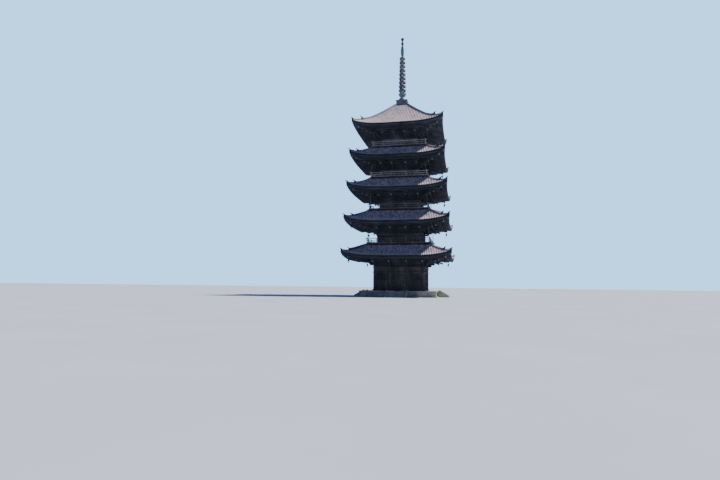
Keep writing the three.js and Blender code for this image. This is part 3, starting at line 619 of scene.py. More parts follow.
RIDGE_STEP_FROM_TIP = (1.25, 1.25, 1.25, 1.25, 1.55)
RIDGE_TIP_INSET = 0.14
UPPER_RIDGE_RISE = (0.23, 0.23, 0.23, 0.23, 0.3)
UPPER_RIDGE_END = (0.42, 0.42, 0.42, 0.42, 0.52)
LOWER_RIDGE_RISE = 0.2
LOWER_RIDGE_END = 0.34
RIDGE_TURN_UP = 0.6
RIDGE_TILE = 0.32
RIDGE_LAP = 0.016
RIDGE_CAP = {"half_width": 0.095, "height": 0.1}
# A course's height, how much narrower each is than the one below, and the groove over it.
RIDGE_COURSE = {"height": 0.075, "step": 0.018, "groove_from": 0.72, "groove_depth": 0.03}
CROWN_CAP = {"radius": 0.075, "out": 0.1, "height": 0.15}


def ridge_section(rise):
    """Half of a ridge from its foot: lapped flat courses stepping in, then the round cap."""
    courses = max(2, round((rise - 0.12) / RIDGE_COURSE["height"]))
    each = (rise - RIDGE_CAP["height"]) / courses
    points = [(0.2, -0.12), (0.2, 0.0)]
    for course in range(courses):
        width = 0.19 - RIDGE_COURSE["step"] * course
        groove = (course + RIDGE_COURSE["groove_from"]) * each
        inside = width - RIDGE_COURSE["groove_depth"]
        points += [(width, course * each), (width, groove), (inside, groove), (inside, (course + 1) * each)]
    for angle in (0, 30, 60, 90):
        turn = math.radians(angle)
        points.append((RIDGE_CAP["half_width"] * math.cos(turn),
                       courses * each + RIDGE_CAP["height"] * math.sin(turn)))
    return points


def hip_run(storey, start, end, rise, end_rise):
    """One run of a hip ridge, its cap tiles lapped and its end turned up."""
    half_section = ridge_section(rise)
    section = half_section + [(-across, height) for across, height in reversed(half_section[:-1])]
    halves, laps = lapped(start, end, RIDGE_TILE, RIDGE_LAP)
    bm = sheet(list(range(len(section))), halves + [end], laps=laps + [0.0])

    def place(co):
        across, height = section[round(co.x)]
        turn = max(0.0, 1 - (end - co.y) / RIDGE_TURN_UP)
        growth = 1 + (end_rise / rise - 1) * turn ** 2
        lap = co.z if height > rise - 0.13 else 0.0
        base = on_hip(storey, co.y, tile_bed(storey, co.y), across * (1 + 2 * lap))
        return base + Vector((0, 0, height * growth + lap))

    lay(bm, place)
    bmesh.ops.holes_fill(bm, edges=[edge for edge in bm.edges if edge.is_boundary], sides=0)
    bmesh.ops.recalc_face_normals(bm, faces=bm.faces[:])
    return bm


def ridge_end_tile(storey, half, rise):
    """The shield-shaped tile that closes a ridge, with its raised border, boss and round bird perch."""
    outline = [(0.3, -0.12), (0.28, 0.15), (0.23, 0.35), (0.25, 0.6), (0.19, 0.88), (0.08, 1.05)]
    wide = 0.75 + 0.5 * rise
    right = [(x * wide, z * rise) for x, z in outline]
    shield = plate(right + [(-x, z) for x, z in reversed(right)], 0.09)
    face = max(shield.faces, key=lambda f: f.calc_area() if f.normal.y < -0.9 else 0)
    bmesh.ops.inset_individual(shield, faces=[face], thickness=0.035, depth=-0.02, use_even_offset=True)
    boss = turned_profile([(0.0, 0.06), (0.04, 0.05), (0.065, 0.02), (0.075, 0.0)], 12)
    moved(boss, Matrix.Translation((0, -0.02, 0.4 * rise)) @ rotation(QUARTER, "X"))
    perch = turned_profile([(0.0, 0.0), (0.085, 0.0), (0.09, 0.3), (0.1, 0.5), (0.065, 0.52),
                            (0.0, 0.51)], 12)
    tilt = rotation(math.radians(72), "X")
    moved(perch, Matrix.Translation((0, 0.15, rise - 0.06)) @ tilt)
    tile = gathered([shield, boss, perch])
    base = on_hip(storey, half, tile_bed(storey, half))
    return moved(tile, Matrix.Translation(base) @ rotation(math.pi / 4))


def crown_course(storey):
    """The level ridge round a roof's head: three flat courses under a round cap."""
    half, height = roof_head(storey)
    outer = half + ROOF_SHELF
    parts = []
    for course in range(3):
        reach = outer - 0.015 * course
        low = height - 0.1 + 0.07 * course + (0.09 if course else 0)
        high = height + 0.05 + 0.05 * course - 0.008
        parts.append(mitre(block((-reach - 0.1, reach + 0.1), (-reach, -half - 0.01), (low, high))))
    y, z = -half - CROWN_CAP["out"], height + CROWN_CAP["height"]
    parts.append(mitre(round_bar((-outer, y, z), (outer, y, z), CROWN_CAP["radius"], 10)))
    return gathered(parts)


def hip_ridges(storey):
    edge = EAVE_HALF[storey]
    step = edge - RIDGE_STEP_FROM_TIP[storey]
    start = roof_head(storey)[0] + 0.02
    tip = edge - RIDGE_TIP_INSET
    runs = gathered([
        hip_run(storey, start, step, UPPER_RIDGE_RISE[storey], UPPER_RIDGE_END[storey]),
        hip_run(storey, step - 0.1, tip, LOWER_RIDGE_RISE, LOWER_RIDGE_END),
    ])
    # The ridge end tiles and the crown course take the dark clay: partly soot, partly painted shade.
    soot_and_shade_parts = gathered([
        ridge_end_tile(storey, step, UPPER_RIDGE_END[storey]),
        ridge_end_tile(storey, tip, LOWER_RIDGE_END),
        crown_course(storey),
    ])
    whole = gathered([finish(runs, FIRST), finish(soot_and_shade_parts, SECOND)])
    set_piece(quarter_turns(whole, has_grain=False), f"storey_{storey + 1}_ridge_tiles", "ridge_tile",
              [ridge_clay, soot_and_shade_clay], f"storey_{storey + 1}_hip_ridges")


# Eaves

RAFTER = {"pitch": 0.31, "width": 0.12}
BOARDING = 0.05
HIP_BEAM = {"half_width": 0.15, "drop": 0.16}
FLYING_HIP_BEAM = {"half_width": 0.14, "drop": 0.14}
FASCIA = {"back": 0.3, "front": 0.05, "board_front": 0.12}
BATTEN = {"back": 0.12, "front": 0.03, "height": 0.14}
BELL_BELOW_HIP = 0.2


def rafter_lines(storey):
    """Rafters stand either side of one in the middle, up to a little short of the corner."""
    reach = EAVE_HALF[storey] - 0.2
    count = int(reach / RAFTER["pitch"])
    return [i * RAFTER["pitch"] for i in range(-count, count + 1)]


def rafters(storey, inner, outer, underside, depth):
    """One tier of squared rafters, side by side out to the hip, with chalked ends."""
    bm = bars(rafter_lines(storey), RAFTER["width"], spread(inner, outer, 0.9))
    lay(bm, lambda co: on_eaves(storey, co.x, co.y, underside(storey, co.y) + depth))
    thicken(bm, 0, 0, -depth)
    mitre(bm)
    finish(bm, GRAIN_Y)
    bm.normal_update()
    for face in bm.faces:
        if face.normal.y < -0.9 and face.calc_center_median().y < 0.02 - outer:
            face.material_index = END_GRAIN
    return bm


def eave_layer(storey, inner, outer, low, thickness):
    """A layer of the eaves that runs along the edge, lifted with it at the corners."""
    reach = outer + CORNER_FLARE
    bm = sheet(spread(-reach, reach, 0.5), spread(inner, outer, 1.2))
    lay(bm, lambda co: on_eaves(storey, co.x, co.y, low(co.y)))
    thicken(bm, 0, 0, thickness)
    mitre(bm)
    return finish(bm, GRAIN_X)


def hip_beam(storey, inner, outer, low, high, half_width):
    """A diagonal beam under the hip, between two height functions."""
    bm = sheet([-half_width, half_width], spread(inner, outer, 0.6))
    depth = (high(inner) - low(inner) + high(outer) - low(outer)) / 2
    lay(bm, lambda co: on_hip(storey, co.y, low(co.y), co.x))
    finish(thicken(bm, 0, 0, depth), GRAIN_Y)
    tip = on_hip(storey, outer, 0).x
    for face in bm.faces:
        if face.normal.x > 0.5 and face.normal.y < -0.5 and face.calc_center_median().x > tip - 0.1:
            face.material_index = CHALKED
    return bm


def off_underside(underside, storey, height):
    """The level of a rafter tier's underside at any distance out, moved by a height."""
    return lambda half: underside(storey, half) + height


def eaves(storey):
    """Two tiers of rafters under their boarding, the edges that end them and the two hip beams."""
    edge = EAVE_HALF[storey]
    line = COLUMN_LINE[storey]
    back = edge - FLYING["length"]
    step = edge - BASE["inset"]
    board_edge = edge - FASCIA["board_front"]
    flying_top = off_underside(flying_underside, storey, FLYING["depth"])
    flying_low = off_underside(flying_underside, storey, -FLYING_HIP_BEAM["drop"])
    base_top = off_underside(base_underside, storey, BASE["depth"])
    base_low = off_underside(base_underside, storey, -HIP_BEAM["drop"])
    fascia_low = flying_top(board_edge)
    fascia = EAVE_TOP[storey] - TILE_EDGE - fascia_low
    parts = [
        rafters(storey, line - 0.1, step + 0.06, base_underside, BASE["depth"]),
        rafters(storey, back, edge - 0.07, flying_underside, FLYING["depth"]),
        eave_layer(storey, line - 0.3, step, base_top, BOARDING),
        eave_layer(storey, back, board_edge, flying_top, BOARDING),
        eave_layer(storey, step - BATTEN["back"], step + BATTEN["front"], base_top, BATTEN["height"]),
        eave_layer(storey, edge - FASCIA["back"], edge - FASCIA["front"], lambda half: fascia_low, fascia),
        hip_beam(storey, line + 0.3, step + 0.22, base_low, base_top, HIP_BEAM["half_width"]),
        hip_beam(storey, back, edge - 0.22, flying_low, flying_top, FLYING_HIP_BEAM["half_width"]),
    ]
    set_sides(storey, parts, "rafters", "timber", timber[storey], "eaves")


def wind_bells():
    """Bronze bells under the ends of the lower hip beams, each on its hook with its wind plate."""
    bell = turned_profile([(0.0, -0.02), (0.07, -0.03), (0.13, -0.09), (0.16, -0.24), (0.18, -0.42),
                           (0.21, -0.5), (0.18, -0.5), (0.15, -0.4), (0.11, -0.11), (0.0, -0.06)], 12)
    clapper = round_bar((0, 0, -0.05), (0, 0, -0.62), 0.016, 6)
    wind_plate = plate([(-0.09, -0.6), (0.09, -0.6), (0.12, -0.74), (0.06, -0.79), (0, -0.76),
                        (-0.06, -0.79), (-0.12, -0.74)], 0.02)
    loop = round_bar((0, 0, -0.03), (0, 0, 0.24), 0.018, 6)
    places = []
    for storey in STOREYS:
        half = EAVE_HALF[storey] - BASE["inset"] + 0.1
        top = base_underside(storey, half) - HIP_BEAM["drop"] - BELL_BELOW_HIP
        places.append(Matrix.Translation(on_hip(storey, half, top)) @ rotation(math.pi / 4))
    hanging = copies(gathered([bell, clapper, wind_plate, loop]), places)
    set_piece(quarter_turns(hanging, has_grain=False), "wind_bells", "bronze", [bell_bronze])


# Brackets

ARM = {"width": 0.2, "height": 0.24}
ARM_END = 0.16
BLOCK = {"width": 0.3, "height": 0.19}
# Below this share of its height a block is cut in, to this share of its width.
BLOCK_WAIST, BLOCK_FOOT = 0.42, 0.68
CAPITAL = {"width": 0.52, "height": 0.32}
FIRST_LEVEL = CAPITAL["height"] - 0.06
LEVEL = ARM["height"] + BLOCK["height"]
# Reach of the two arms in the wall, of the arms on the steps, and of the outward arms into the wall.
WALL_ARMS = (0.72, 0.95)
STEPPED_ARM = 0.62
INTO_WALL = 0.25
TAIL_BLOCK = {"height": 0.16, "level": 1.2}
PURLIN_ARM_LEVEL = 1.33
HIP_TAIL_END = {"out": 3.1, "above_plate": 0.98, "depth": 0.28, "slope": 0.3}
HIP_TAIL = {"start": 0.8, "width": 0.24}
LATTICE = {"pitch": 0.17, "width": 0.05, "depth": 0.05}


def bearing_block(width, height, x, y, z):
    """A bearing block: square above, cut in to its foot below."""
    across = (-width / 2, width / 2)
    upper = block(across, across, (height * BLOCK_WAIST, height))
    lower = block(across, across, (0, height * BLOCK_WAIST))
    for vert in lower.verts:
        if vert.co.z < 1e-4:
            vert.co.x *= BLOCK_FOOT
            vert.co.y *= BLOCK_FOOT
    return shifted(gathered([upper, lower]), x, y, z)


def arm_block(x, y, z):
    """The small block that sits on an arm."""
    return bearing_block(BLOCK["width"], BLOCK["height"], x, y, z)


def bracket_arm(reach, z, start=None):
    """An arm with rounded lower corners, reaching along x either side of the middle, or from start."""
    height = ARM["height"]
    low = -reach if start is None else start
    outline = [(low, z + height), (reach, z + height), (reach, z + 0.13), (reach - 0.05, z + 0.06),
               (reach - ARM_END, z)]
    if start is None:
        outline += [(low + ARM_END, z), (low + 0.05, z + 0.06), (low, z + 0.13)]
    else:
        outline.append((low, z))
    arm = plate(outline, ARM["width"])
    for face in arm.faces:
        if abs(face.normal.x) > 0.9 and face.calc_center_median().x > low + 0.01:
            face.material_index = END_GRAIN
    return arm


def parallel_arm(out, reach, z, line):
    """An arm along the wall with three blocks on it."""
    end = reach - 0.14
    blocks = [arm_block(x, -line - out, z + ARM["height"]) for x in (-end, 0, end)]
    return [shifted(bracket_arm(reach, z), 0, -line - out), *blocks]


def outward(bm):
    """Turns a piece drawn along x to point out from the front, its grain with it."""
    for face in bm.faces:
        if face.material_index == GRAIN_X:
            face.material_index = GRAIN_Y
    return moved(bm, rotation(-QUARTER))


def tail_rafter(end, start, stretch=1.0, width=ARM["width"]):
    """A sloping tail with its chalked end."""
    low = end["above_plate"]
    high = low + end["slope"] * (end["out"] - start)
    near, far = start * stretch, end["out"] * stretch
    tail = plate([(near, high), (far, low), (far, low + end["depth"]), (near, high + end["depth"])], width)
    for face in tail.faces:
        if face.normal.x > 0.9:
            face.material_index = CHALKED
    return tail


def stepping_out(stretch=1.0, starts=(-INTO_WALL, -INTO_WALL)):
    """What steps out from the wall at a column, drawn along x: two arms, their blocks and the tail."""
    first, second, third = [step * stretch for step in STEP_OUT]
    return [
        bracket_arm(first + ARM_END, FIRST_LEVEL, starts[0]),
        arm_block(first, 0, FIRST_LEVEL + ARM["height"]),
        bracket_arm(second + ARM_END, FIRST_LEVEL + LEVEL, starts[1]),
        arm_block(second, 0, FIRST_LEVEL + LEVEL + ARM["height"]),
        tail_rafter(TAIL_END, 0.0, stretch),
        bearing_block(BLOCK["width"], TAIL_BLOCK["height"], third, 0, TAIL_BLOCK["level"]),
    ]


def bracket_set(storey, x):
    """One set in the front side, at a column x across. At a corner the wall's own arms run on outwards."""
    line = COLUMN_LINE[storey]
    at_corner = abs(x) == line
    out = stepping_out(starts=[-reach for reach in WALL_ARMS]) if at_corner else stepping_out()
    parts = [shifted(outward(gathered(out)), 0, -line)]
    # The next side brings the capital of the left corner.
    if x != -line:
        parts.append(bearing_block(CAPITAL["width"], CAPITAL["height"], 0, -line, 0))
    if not at_corner:
        parts += parallel_arm(0, WALL_ARMS[0], FIRST_LEVEL, line)
        parts += parallel_arm(0, WALL_ARMS[1], FIRST_LEVEL + LEVEL, line)
    levels = (FIRST_LEVEL + LEVEL, FIRST_LEVEL + 2 * LEVEL - 0.06, PURLIN_ARM_LEVEL)
    for step, level in zip(STEP_OUT, levels):
        parts += parallel_arm(step, STEPPED_ARM, level, line)
    return shifted(gathered(parts), x, 0, plate_top(storey))


def corner_set(storey):
    """The diagonal arms and the two tails of a corner."""
    line = COLUMN_LINE[storey]
    hip_tail = tail_rafter(HIP_TAIL_END, HIP_TAIL["start"], DIAGONAL, HIP_TAIL["width"])
    diagonal = moved(gathered([*stepping_out(DIAGONAL), hip_tail]), rotation(-math.pi / 4))
    return shifted(diagonal, line, -line, plate_top(storey))


def side_beam(storey, out, half_width, low, high, past=0.0):
    """A beam along the front, out from the column line, mitred at the hips or running past the corner."""
    middle = COLUMN_LINE[storey] + out
    reach = middle + half_width + past
    beam = block((-reach, reach), around(-middle, half_width), (low, high))
    return beam if past else mitre(beam)


def tie_levels(storey):
    """Heights of the two rows of tie beams."""
    second = plate_top(storey) + FIRST_LEVEL + 2 * LEVEL
    return second, second + LEVEL


def tie_beams(storey):
    """What runs the length of a side: wall boards, tie beams and the purlin."""
    second, third = tie_levels(storey)
    wall_top = base_underside(storey, COLUMN_LINE[storey] + 0.09)
    purlin_top = base_underside(storey, COLUMN_LINE[storey] + STEP_OUT[2] + 0.14)
    return [
        side_beam(storey, 0, 0.05, plate_top(storey), wall_top),
        side_beam(storey, 0, 0.1, second - 0.02, second + 0.18),
        side_beam(storey, 0, 0.1, third - 0.1, third + 0.1),
        side_beam(storey, STEP_OUT[0], 0.09, second - 0.02, second + 0.18, past=0.25),
        side_beam(storey, STEP_OUT[1], 0.09, third - 0.14, third + 0.06, past=0.25),
        side_beam(storey, STEP_OUT[2], 0.14, purlin_top - 0.28, purlin_top, past=0.3),
    ]


def struts(storey):
    """Small struts with a block on each, between the columns."""
    line = COLUMN_LINE[storey]
    beside = (line + CENTRE_BAY[storey] / 2) / 2
    height = FIRST_LEVEL + ARM["height"]
    parts = []
    for x in (-beside, 0.0, beside):
        strut = [block((-0.09, 0.09), (-0.1, 0.1), (0, height), grain=GRAIN_Z), arm_block(0, 0, height)]
        parts.append(shifted(gathered(strut), x, -line - 0.03, plate_top(storey)))
    return parts


def lattice_ceiling(storey):
    """A lattice under boards, down from the wall to the first tie beam and up to the second."""
    line = COLUMN_LINE[storey]
    second, third = tie_levels(storey)
    steps = (line + 0.1, line + STEP_OUT[0] - 0.05, line + STEP_OUT[1] - 0.05)
    levels = (third - 0.02, second + 0.2, third - 0.04)
    reach = line + STEP_OUT[1]

    def slope(co):
        nearest = min(range(3), key=lambda i: abs(steps[i] - co.y))
        return Vector((co.x, -co.y, levels[nearest]))

    lattice = lay(bars(spread(-reach, reach, LATTICE["pitch"]), LATTICE["width"], steps), slope)
    ceiling = lay(sheet([-reach, reach], steps), slope)
    return [finish(mitre(thicken(lattice, 0, 0, -LATTICE["depth"])), GRAIN_Y),
            finish(mitre(thicken(ceiling, 0, 0, 0.03)), GRAIN_X)]


def brackets(storey):
    line = COLUMN_LINE[storey]
    centre = CENTRE_BAY[storey] / 2
    sets = [bracket_set(storey, x) for x in (-line, -centre, centre, line)]
    parts = [*sets, corner_set(storey), *tie_beams(storey), *struts(storey), *lattice_ceiling(storey)]
    set_sides(storey, parts, "bracket_sets", "timber", timber[storey], "brackets")


# Walls, doors and windows

HEAD_TIE = {"height": 0.25, "half": 0.1, "past": 0.3}
PLATE = {"height": 0.15, "inner": 0.2, "outer": 0.36}
LINTEL_HEIGHT = 0.18
GROUND_LINTEL_TOP = 4.85
RING_BEAM_PROUD = 0.05
SILL_HEIGHT = (0.3, 0.2, 0.2, 0.2, 0.2)
SILL_INNER = 0.2
WINDOW_SILL = (1.75, 0.32, 0.32, 0.32, 0.32)
WINDOW_RAIL = {"height": 0.2, "proud": 0.16}
JAMB = {"width": 0.12, "half": 0.08}
BOARD_WIDTH = 0.3
BOARD_JOINT = 0.018
WINDOW_FRAME = {"rail": 0.08, "stile": 0.07, "front": 0.11, "back": 0.08}
WINDOW_BAR = {"width": 0.07, "pitch": 0.13}
SHUTTER = {"behind": 0.12, "thickness": 0.05}
STRAP = {"half": 0.05, "back": 0.04, "front": 0.065}


def wall_levels(storey):
    """Heights of the top of the sill beam, the foot of the lintel beam and the foot of the head tie."""
    tie_low = plate_top(storey) - PLATE["height"] - HEAD_TIE["height"]
    sill = FLOOR_TOP[storey] + SILL_HEIGHT[storey]
    lintel = (GROUND_LINTEL_TOP if storey == GROUND else tie_low) - LINTEL_HEIGHT
    return sill, lintel, tie_low


def beam_reach(storey):
    """How far the sill and lintel beams stand out from the axis."""
    return COLUMN_LINE[storey] + COLUMN_RADIUS[storey] + RING_BEAM_PROUD


def ringing_beam(outer, inner, low, high, bevel=0.012):
    """The front length of a beam that rings the storey, mitred at the corners."""
    return mitre(block((-outer - 0.1, outer + 0.1), (-outer, -inner), (low, high), bevel=bevel))


def plank_wall(x0, x1, z0, z1, y, thickness=0.1):
    """Upright boards side by side, with their joints open a little at the face."""
    back = block((x0, x1), (y - thickness / 2 + 0.02, y + thickness / 2), (z0, z1), grain=GRAIN_Z)
    count = max(1, round((x1 - x0) / BOARD_WIDTH))
    width = (x1 - x0) / count
    centres = [x0 + (i + 0.5) * width for i in range(count)]
    face = bars(centres, width - BOARD_JOINT, [z0, z1])
    lay(face, lambda co: Vector((co.x, y - thickness / 2, co.y)))
    return gathered([back, finish(thicken(face, 0, 0.03, 0), GRAIN_Z)])


def window_bars(x0, x1, z0, z1, y):
    """A frame with upright bars set close together, in front of the boards that shut the window."""
    rail, stile = WINDOW_FRAME["rail"], WINDOW_FRAME["stile"]
    depth = (y - WINDOW_FRAME["front"], y + WINDOW_FRAME["back"])
    clear = x1 - x0 - 2 * stile
    count = round(clear / WINDOW_BAR["pitch"])
    centres = [x0 + stile + (i + 0.5) * clear / count for i in range(count)]
    uprights = bars(centres, WINDOW_BAR["width"], [z0, z1])
    lay(uprights, lambda co: Vector((co.x, y - WINDOW_BAR["width"] / 2, co.y)))
    parts = [finish(thicken(uprights, 0, WINDOW_BAR["width"], 0), GRAIN_Z)]
    for z in (z0, z1 - rail):
        parts.append(block((x0, x1), depth, (z, z + rail), grain=GRAIN_X))
    for x in (x0, x1 - stile):
        parts.append(block((x, x + stile), depth, (z0, z1), grain=GRAIN_Z))
    return parts


def columns(storey):
    """The front's round columns, fullest a third of the way up. The next side brings the last corner."""
    line, radius = COLUMN_LINE[storey], COLUMN_RADIUS[storey]
    centre = CENTRE_BAY[storey] / 2
    sill = wall_levels(storey)[0]
    top = plate_top(storey)
    head = top - PLATE["height"]
    profile = [(0.0, sill), (radius * 0.96, sill), (radius * 0.96, sill + 0.01),
               (radius, sill + (top - sill) * 0.35), (radius * 0.93, head), (0.0, head)]
    return [finish(shifted(turned_profile(profile, 24), x, -line), GRAIN_Z) for x in (-line, -centre, centre)]


def wall_beams(storey):
    """Head tie, plate and lintel beam. The tall ground storey is boarded over them, with a window rail."""
    line = COLUMN_LINE[storey]
    sill, lintel, tie_low = wall_levels(storey)
    top = plate_top(storey)
    tie_reach = line + HEAD_TIE["past"]
    parts = [
        block((-tie_reach, tie_reach), around(-line, HEAD_TIE["half"]),
              (tie_low, top - PLATE["height"]), bevel=0.012),
        ringing_beam(line + PLATE["outer"], line - PLATE["inner"], top - PLATE["height"], top),
        ringing_beam(beam_reach(storey), line, lintel, lintel + LINTEL_HEIGHT),
    ]
    if storey == GROUND:
        rail_top = sill + WINDOW_SILL[storey]
        parts.append(plank_wall(-line, line, lintel + LINTEL_HEIGHT, tie_low, -line))
        parts.append(ringing_beam(line + WINDOW_RAIL["proud"], line, rail_top - WINDOW_RAIL["height"],
                                  rail_top))
    return parts


def side_bay(storey, side):
    """The wall on one side of the door: boards, the barred window with boards behind, and the jambs."""
    line, radius = COLUMN_LINE[storey], COLUMN_RADIUS[storey]
    centre = CENTRE_BAY[storey] / 2
    sill, lintel, _ = wall_levels(storey)
    window_low = sill + WINDOW_SILL[storey]
    door = centre - radius - JAMB["width"]
    window = (centre + radius + JAMB["width"], line - radius - JAMB["width"])
    inner, outer = sorted(side * x for x in window)
    parts = [
        plank_wall(inner, outer, sill, window_low, -line),
        *window_bars(inner, outer, window_low, lintel, -line),
        plank_wall(inner, outer, window_low, lintel, -line + SHUTTER["behind"], SHUTTER["thickness"]),
    ]
    for jamb in ((door, centre), (centre, window[0]), (window[1], line)):
        ends = sorted(side * x for x in jamb)
        parts.append(block(ends, around(-line, JAMB["half"]), (sill, lintel), grain=GRAIN_Z))
    return parts


def walls(storey):
    parts = [*columns(storey), *wall_beams(storey), *side_bay(storey, -1), *side_bay(storey, 1)]
    set_sides(storey, parts, "boarded_walls", "timber", boards[storey], "walls")


def strap(inner, outer, z, line):
    """An iron strap across a door leaf, with its round studs."""
    across = (inner + 0.02, outer - 0.02)
    depth = (-line - STRAP["front"], -line - STRAP["back"])
    parts = [block(across, depth, around(z, STRAP["half"]))]
    for x in spread(inner + 0.1, outer - 0.1, 0.2):
        stud = turned_profile([(0.0, 0.03), (0.02, 0.025), (0.032, 0.0)], 8)
        place = Matrix.Translation((x, -line - STRAP["front"] + 0.001, z))
        parts.append(moved(stud, place @ rotation(QUARTER, "X")))
    return parts


def doors(storey):
    """Plank doors in two leaves with iron straps and studs, on the sill beam."""
    line = COLUMN_LINE[storey]
    sill, lintel, _ = wall_levels(storey)
    half = CENTRE_BAY[storey] / 2 - COLUMN_RADIUS[storey] - JAMB["width"]
    wood = [ringing_beam(beam_reach(storey), line - SILL_INNER, FLOOR_TOP[storey], sill, bevel=0.015)]
    iron = []
    for side in (-1, 1):
        inner, outer = sorted((side * 0.015, side * (half - 0.01)))
        wood.append(plank_wall(inner, outer, sill, lintel, -line, thickness=0.09))
        for share in (0.12, 0.5, 0.88):
            iron += strap(inner, outer, sill + (lintel - sill) * share, line)
    wood.append(block((-0.05, 0.05), (-line - 0.075, -line), (sill, lintel), grain=GRAIN_Z))
    parts = [*wood, finish(gathered(iron), IRON)]
    set_sides(storey, parts, "plank_doors", "door_timber", [*boards[storey], black_iron], "doors")


# Balconies

DECK = {"plank": 0.26, "joint": 0.012, "thickness": 0.06, "depth": 0.14}
JOIST = {"half": 0.06, "pitch": 0.62, "depth": 0.13}
RAIL_INSET = 0.13
RAIL_PAST = 0.4
RAIL_TURN_UP = 0.09
PROP_AT = {"inset": 0.28, "half": 0.055}


def balcony(storey):
    """Planks laid outwards on two edge beams, the sill beam under the wall, and the joists' ends."""
    half = BALCONY_HALF[storey]
    top = FLOOR_TOP[storey]
    line = COLUMN_LINE[storey]
    count = round(2 * half / DECK["plank"])
    centres = [-half + (i + 0.5) * 2 * half / count for i in range(count)]
    deck = bars(centres, 2 * half / count - DECK["joint"], [line - 0.2, half])
    lay(deck, lambda co: Vector((co.x, -co.y, top)))
    plank_low = top - DECK["thickness"]
    beam_top = top - DECK["depth"]
    parts = [
        finish(mitre(thicken(deck, 0, 0, -DECK["thickness"])), GRAIN_Y),
        mitre(block((-half, half), (-half + 0.05, -half + 0.35), (beam_top - 0.02, plank_low))),
        mitre(block((-half, half), (-half + 0.12, -half + 0.4), (roof_head(storey - 1)[1], beam_top))),
        mitre(block((-line - 0.4, line + 0.4), (-line - 0.4, -line + 0.15), (top - 0.3, plank_low))),
    ]
    for x in spread(-half + 0.25, half - 0.25, JOIST["pitch"]):
        parts.append(block(around(x, JOIST["half"]), (-half + 0.02, -half + 0.5),
                           (beam_top - JOIST["depth"], beam_top), grain=GRAIN_Y))
    set_sides(storey, parts, "balcony_deck", "timber", decking, "balcony")


def upturned_rail(reach, y, low, high, half_width):
    """A rail whose two ends run past the corner and turn up a little."""
    ends = [reach * share for share in (-1, -0.985, -0.96, -0.93)]
    xs = ends + spread(-0.85 * reach, 0.85 * reach, reach) + [-x for x in reversed(ends)]
    bm = sheet(xs, [y - half_width, y + half_width])

    def place(co):
        past = max(0.0, (abs(co.x) - 0.93 * reach) / (0.07 * reach))
        return Vector((co.x, co.y, low + RAIL_TURN_UP * past ** 2))

    lay(bm, place)
    return finish(thicken(bm, 0, 0, high - low), GRAIN_X)


def upright(x, y, half, low, high, grain):
    """A square post or strut."""
    return block(around(x, half), around(y, half), (low, high), grain=grain)


def corner_prop(storey, half):
    """The slender prop from the deck to the bracket tail over it, and its block on the rail."""
    deck = FLOOR_TOP[storey]
    at = BALCONY_HALF[storey] - PROP_AT["inset"]
    tail = plate_top(storey) + TAIL_END["above_plate"]
    top = tail + TAIL_END["slope"] * (COLUMN_LINE[storey] + TAIL_END["out"] - at)
    near = at - PROP_AT["half"]
    return [upright(at, -at, PROP_AT["half"], deck, top, PROP),
            block((near, half), (-half, -near), (deck + 0.48, deck + 0.55))]


def balustrade(storey):
    """Three rails on posts with caps, short struts between them, and the corner's prop."""
    half = BALCONY_HALF[storey] - RAIL_INSET
    deck = FLOOR_TOP[storey]
    parts = [
        soften(block((-half - 0.12, half + 0.12), around(-half, 0.055), (deck, deck + 0.14)), 0.01),
        block((-half - 0.2, half + 0.2), around(-half, 0.05), (deck + 0.47, deck + 0.55)),
        upturned_rail(half + RAIL_PAST, -half, deck + 0.83, deck + 0.93, 0.055),
    ]
    centre, line = CENTRE_BAY[storey] / 2, COLUMN_LINE[storey]
    for x in (-half, -centre, centre, -line, line):
        parts.append(upright(x, -half, 0.05, deck, deck + 0.84, GRAIN_Z))
        parts.append(bearing_block(0.17, 0.12, x, -half, deck + 0.72))
    for x in spread(-half, half, 0.8)[1:-1]:
        parts.append(upright(x, -half, 0.035, deck + 0.12, deck + 0.48, GRAIN_Z))
    parts += corner_prop(storey, half)
    finishes = [*rails[storey], weathered_boards[GRAIN_Z]]
    set_sides(storey, parts, "railing", "timber", finishes, "balustrade")


# Stone

PODIUM_HALF = 7.2
FOOTING = {"past": 0.2, "depth": 0.6, "top": 0.22, "length": 1.6}
COPING = {"past": 0.12, "depth": 0.75, "height": 0.24, "length": 1.5}
POST = {"half": 0.15, "depth": 0.3, "pitch": 1.55}
PAVING = {"inset": 0.64, "across": 0.75, "out": 0.62, "joint": 0.005, "thickness": 0.2}
STAIR = {"steps": 6, "going": 0.32, "half_width": 1.7, "cheek": 0.4, "cheek_rise": 0.16}
STEP_LAP = 0.12


def stone_course(reach, depth, low, high, length):
    """Dressed stones end to end along one side, mitred at the corners."""
    joints = spread(-reach, reach, length)
    return [mitre(block((near + 0.004, far - 0.004), (-reach, -reach + depth), (low, high), bevel=0.015))
            for near, far in zip(joints, joints[1:])]


def paving(half, top):
    """Square slabs in rows from the wall out, mitred at the corners."""
    gap = PAVING["joint"]
    parts = []
    rows = spread(COLUMN_LINE[GROUND] - 0.3, half, PAVING["out"])
    for near, far in zip(rows, rows[1:]):
        across = spread(-far, far, PAVING["across"])
        for left, right in zip(across, across[1:]):
            parts.append(mitre(block((left + gap, right - gap), (-far + gap, -near - gap),
                                     (top - PAVING["thickness"], top), bevel=0.01)))
    return parts


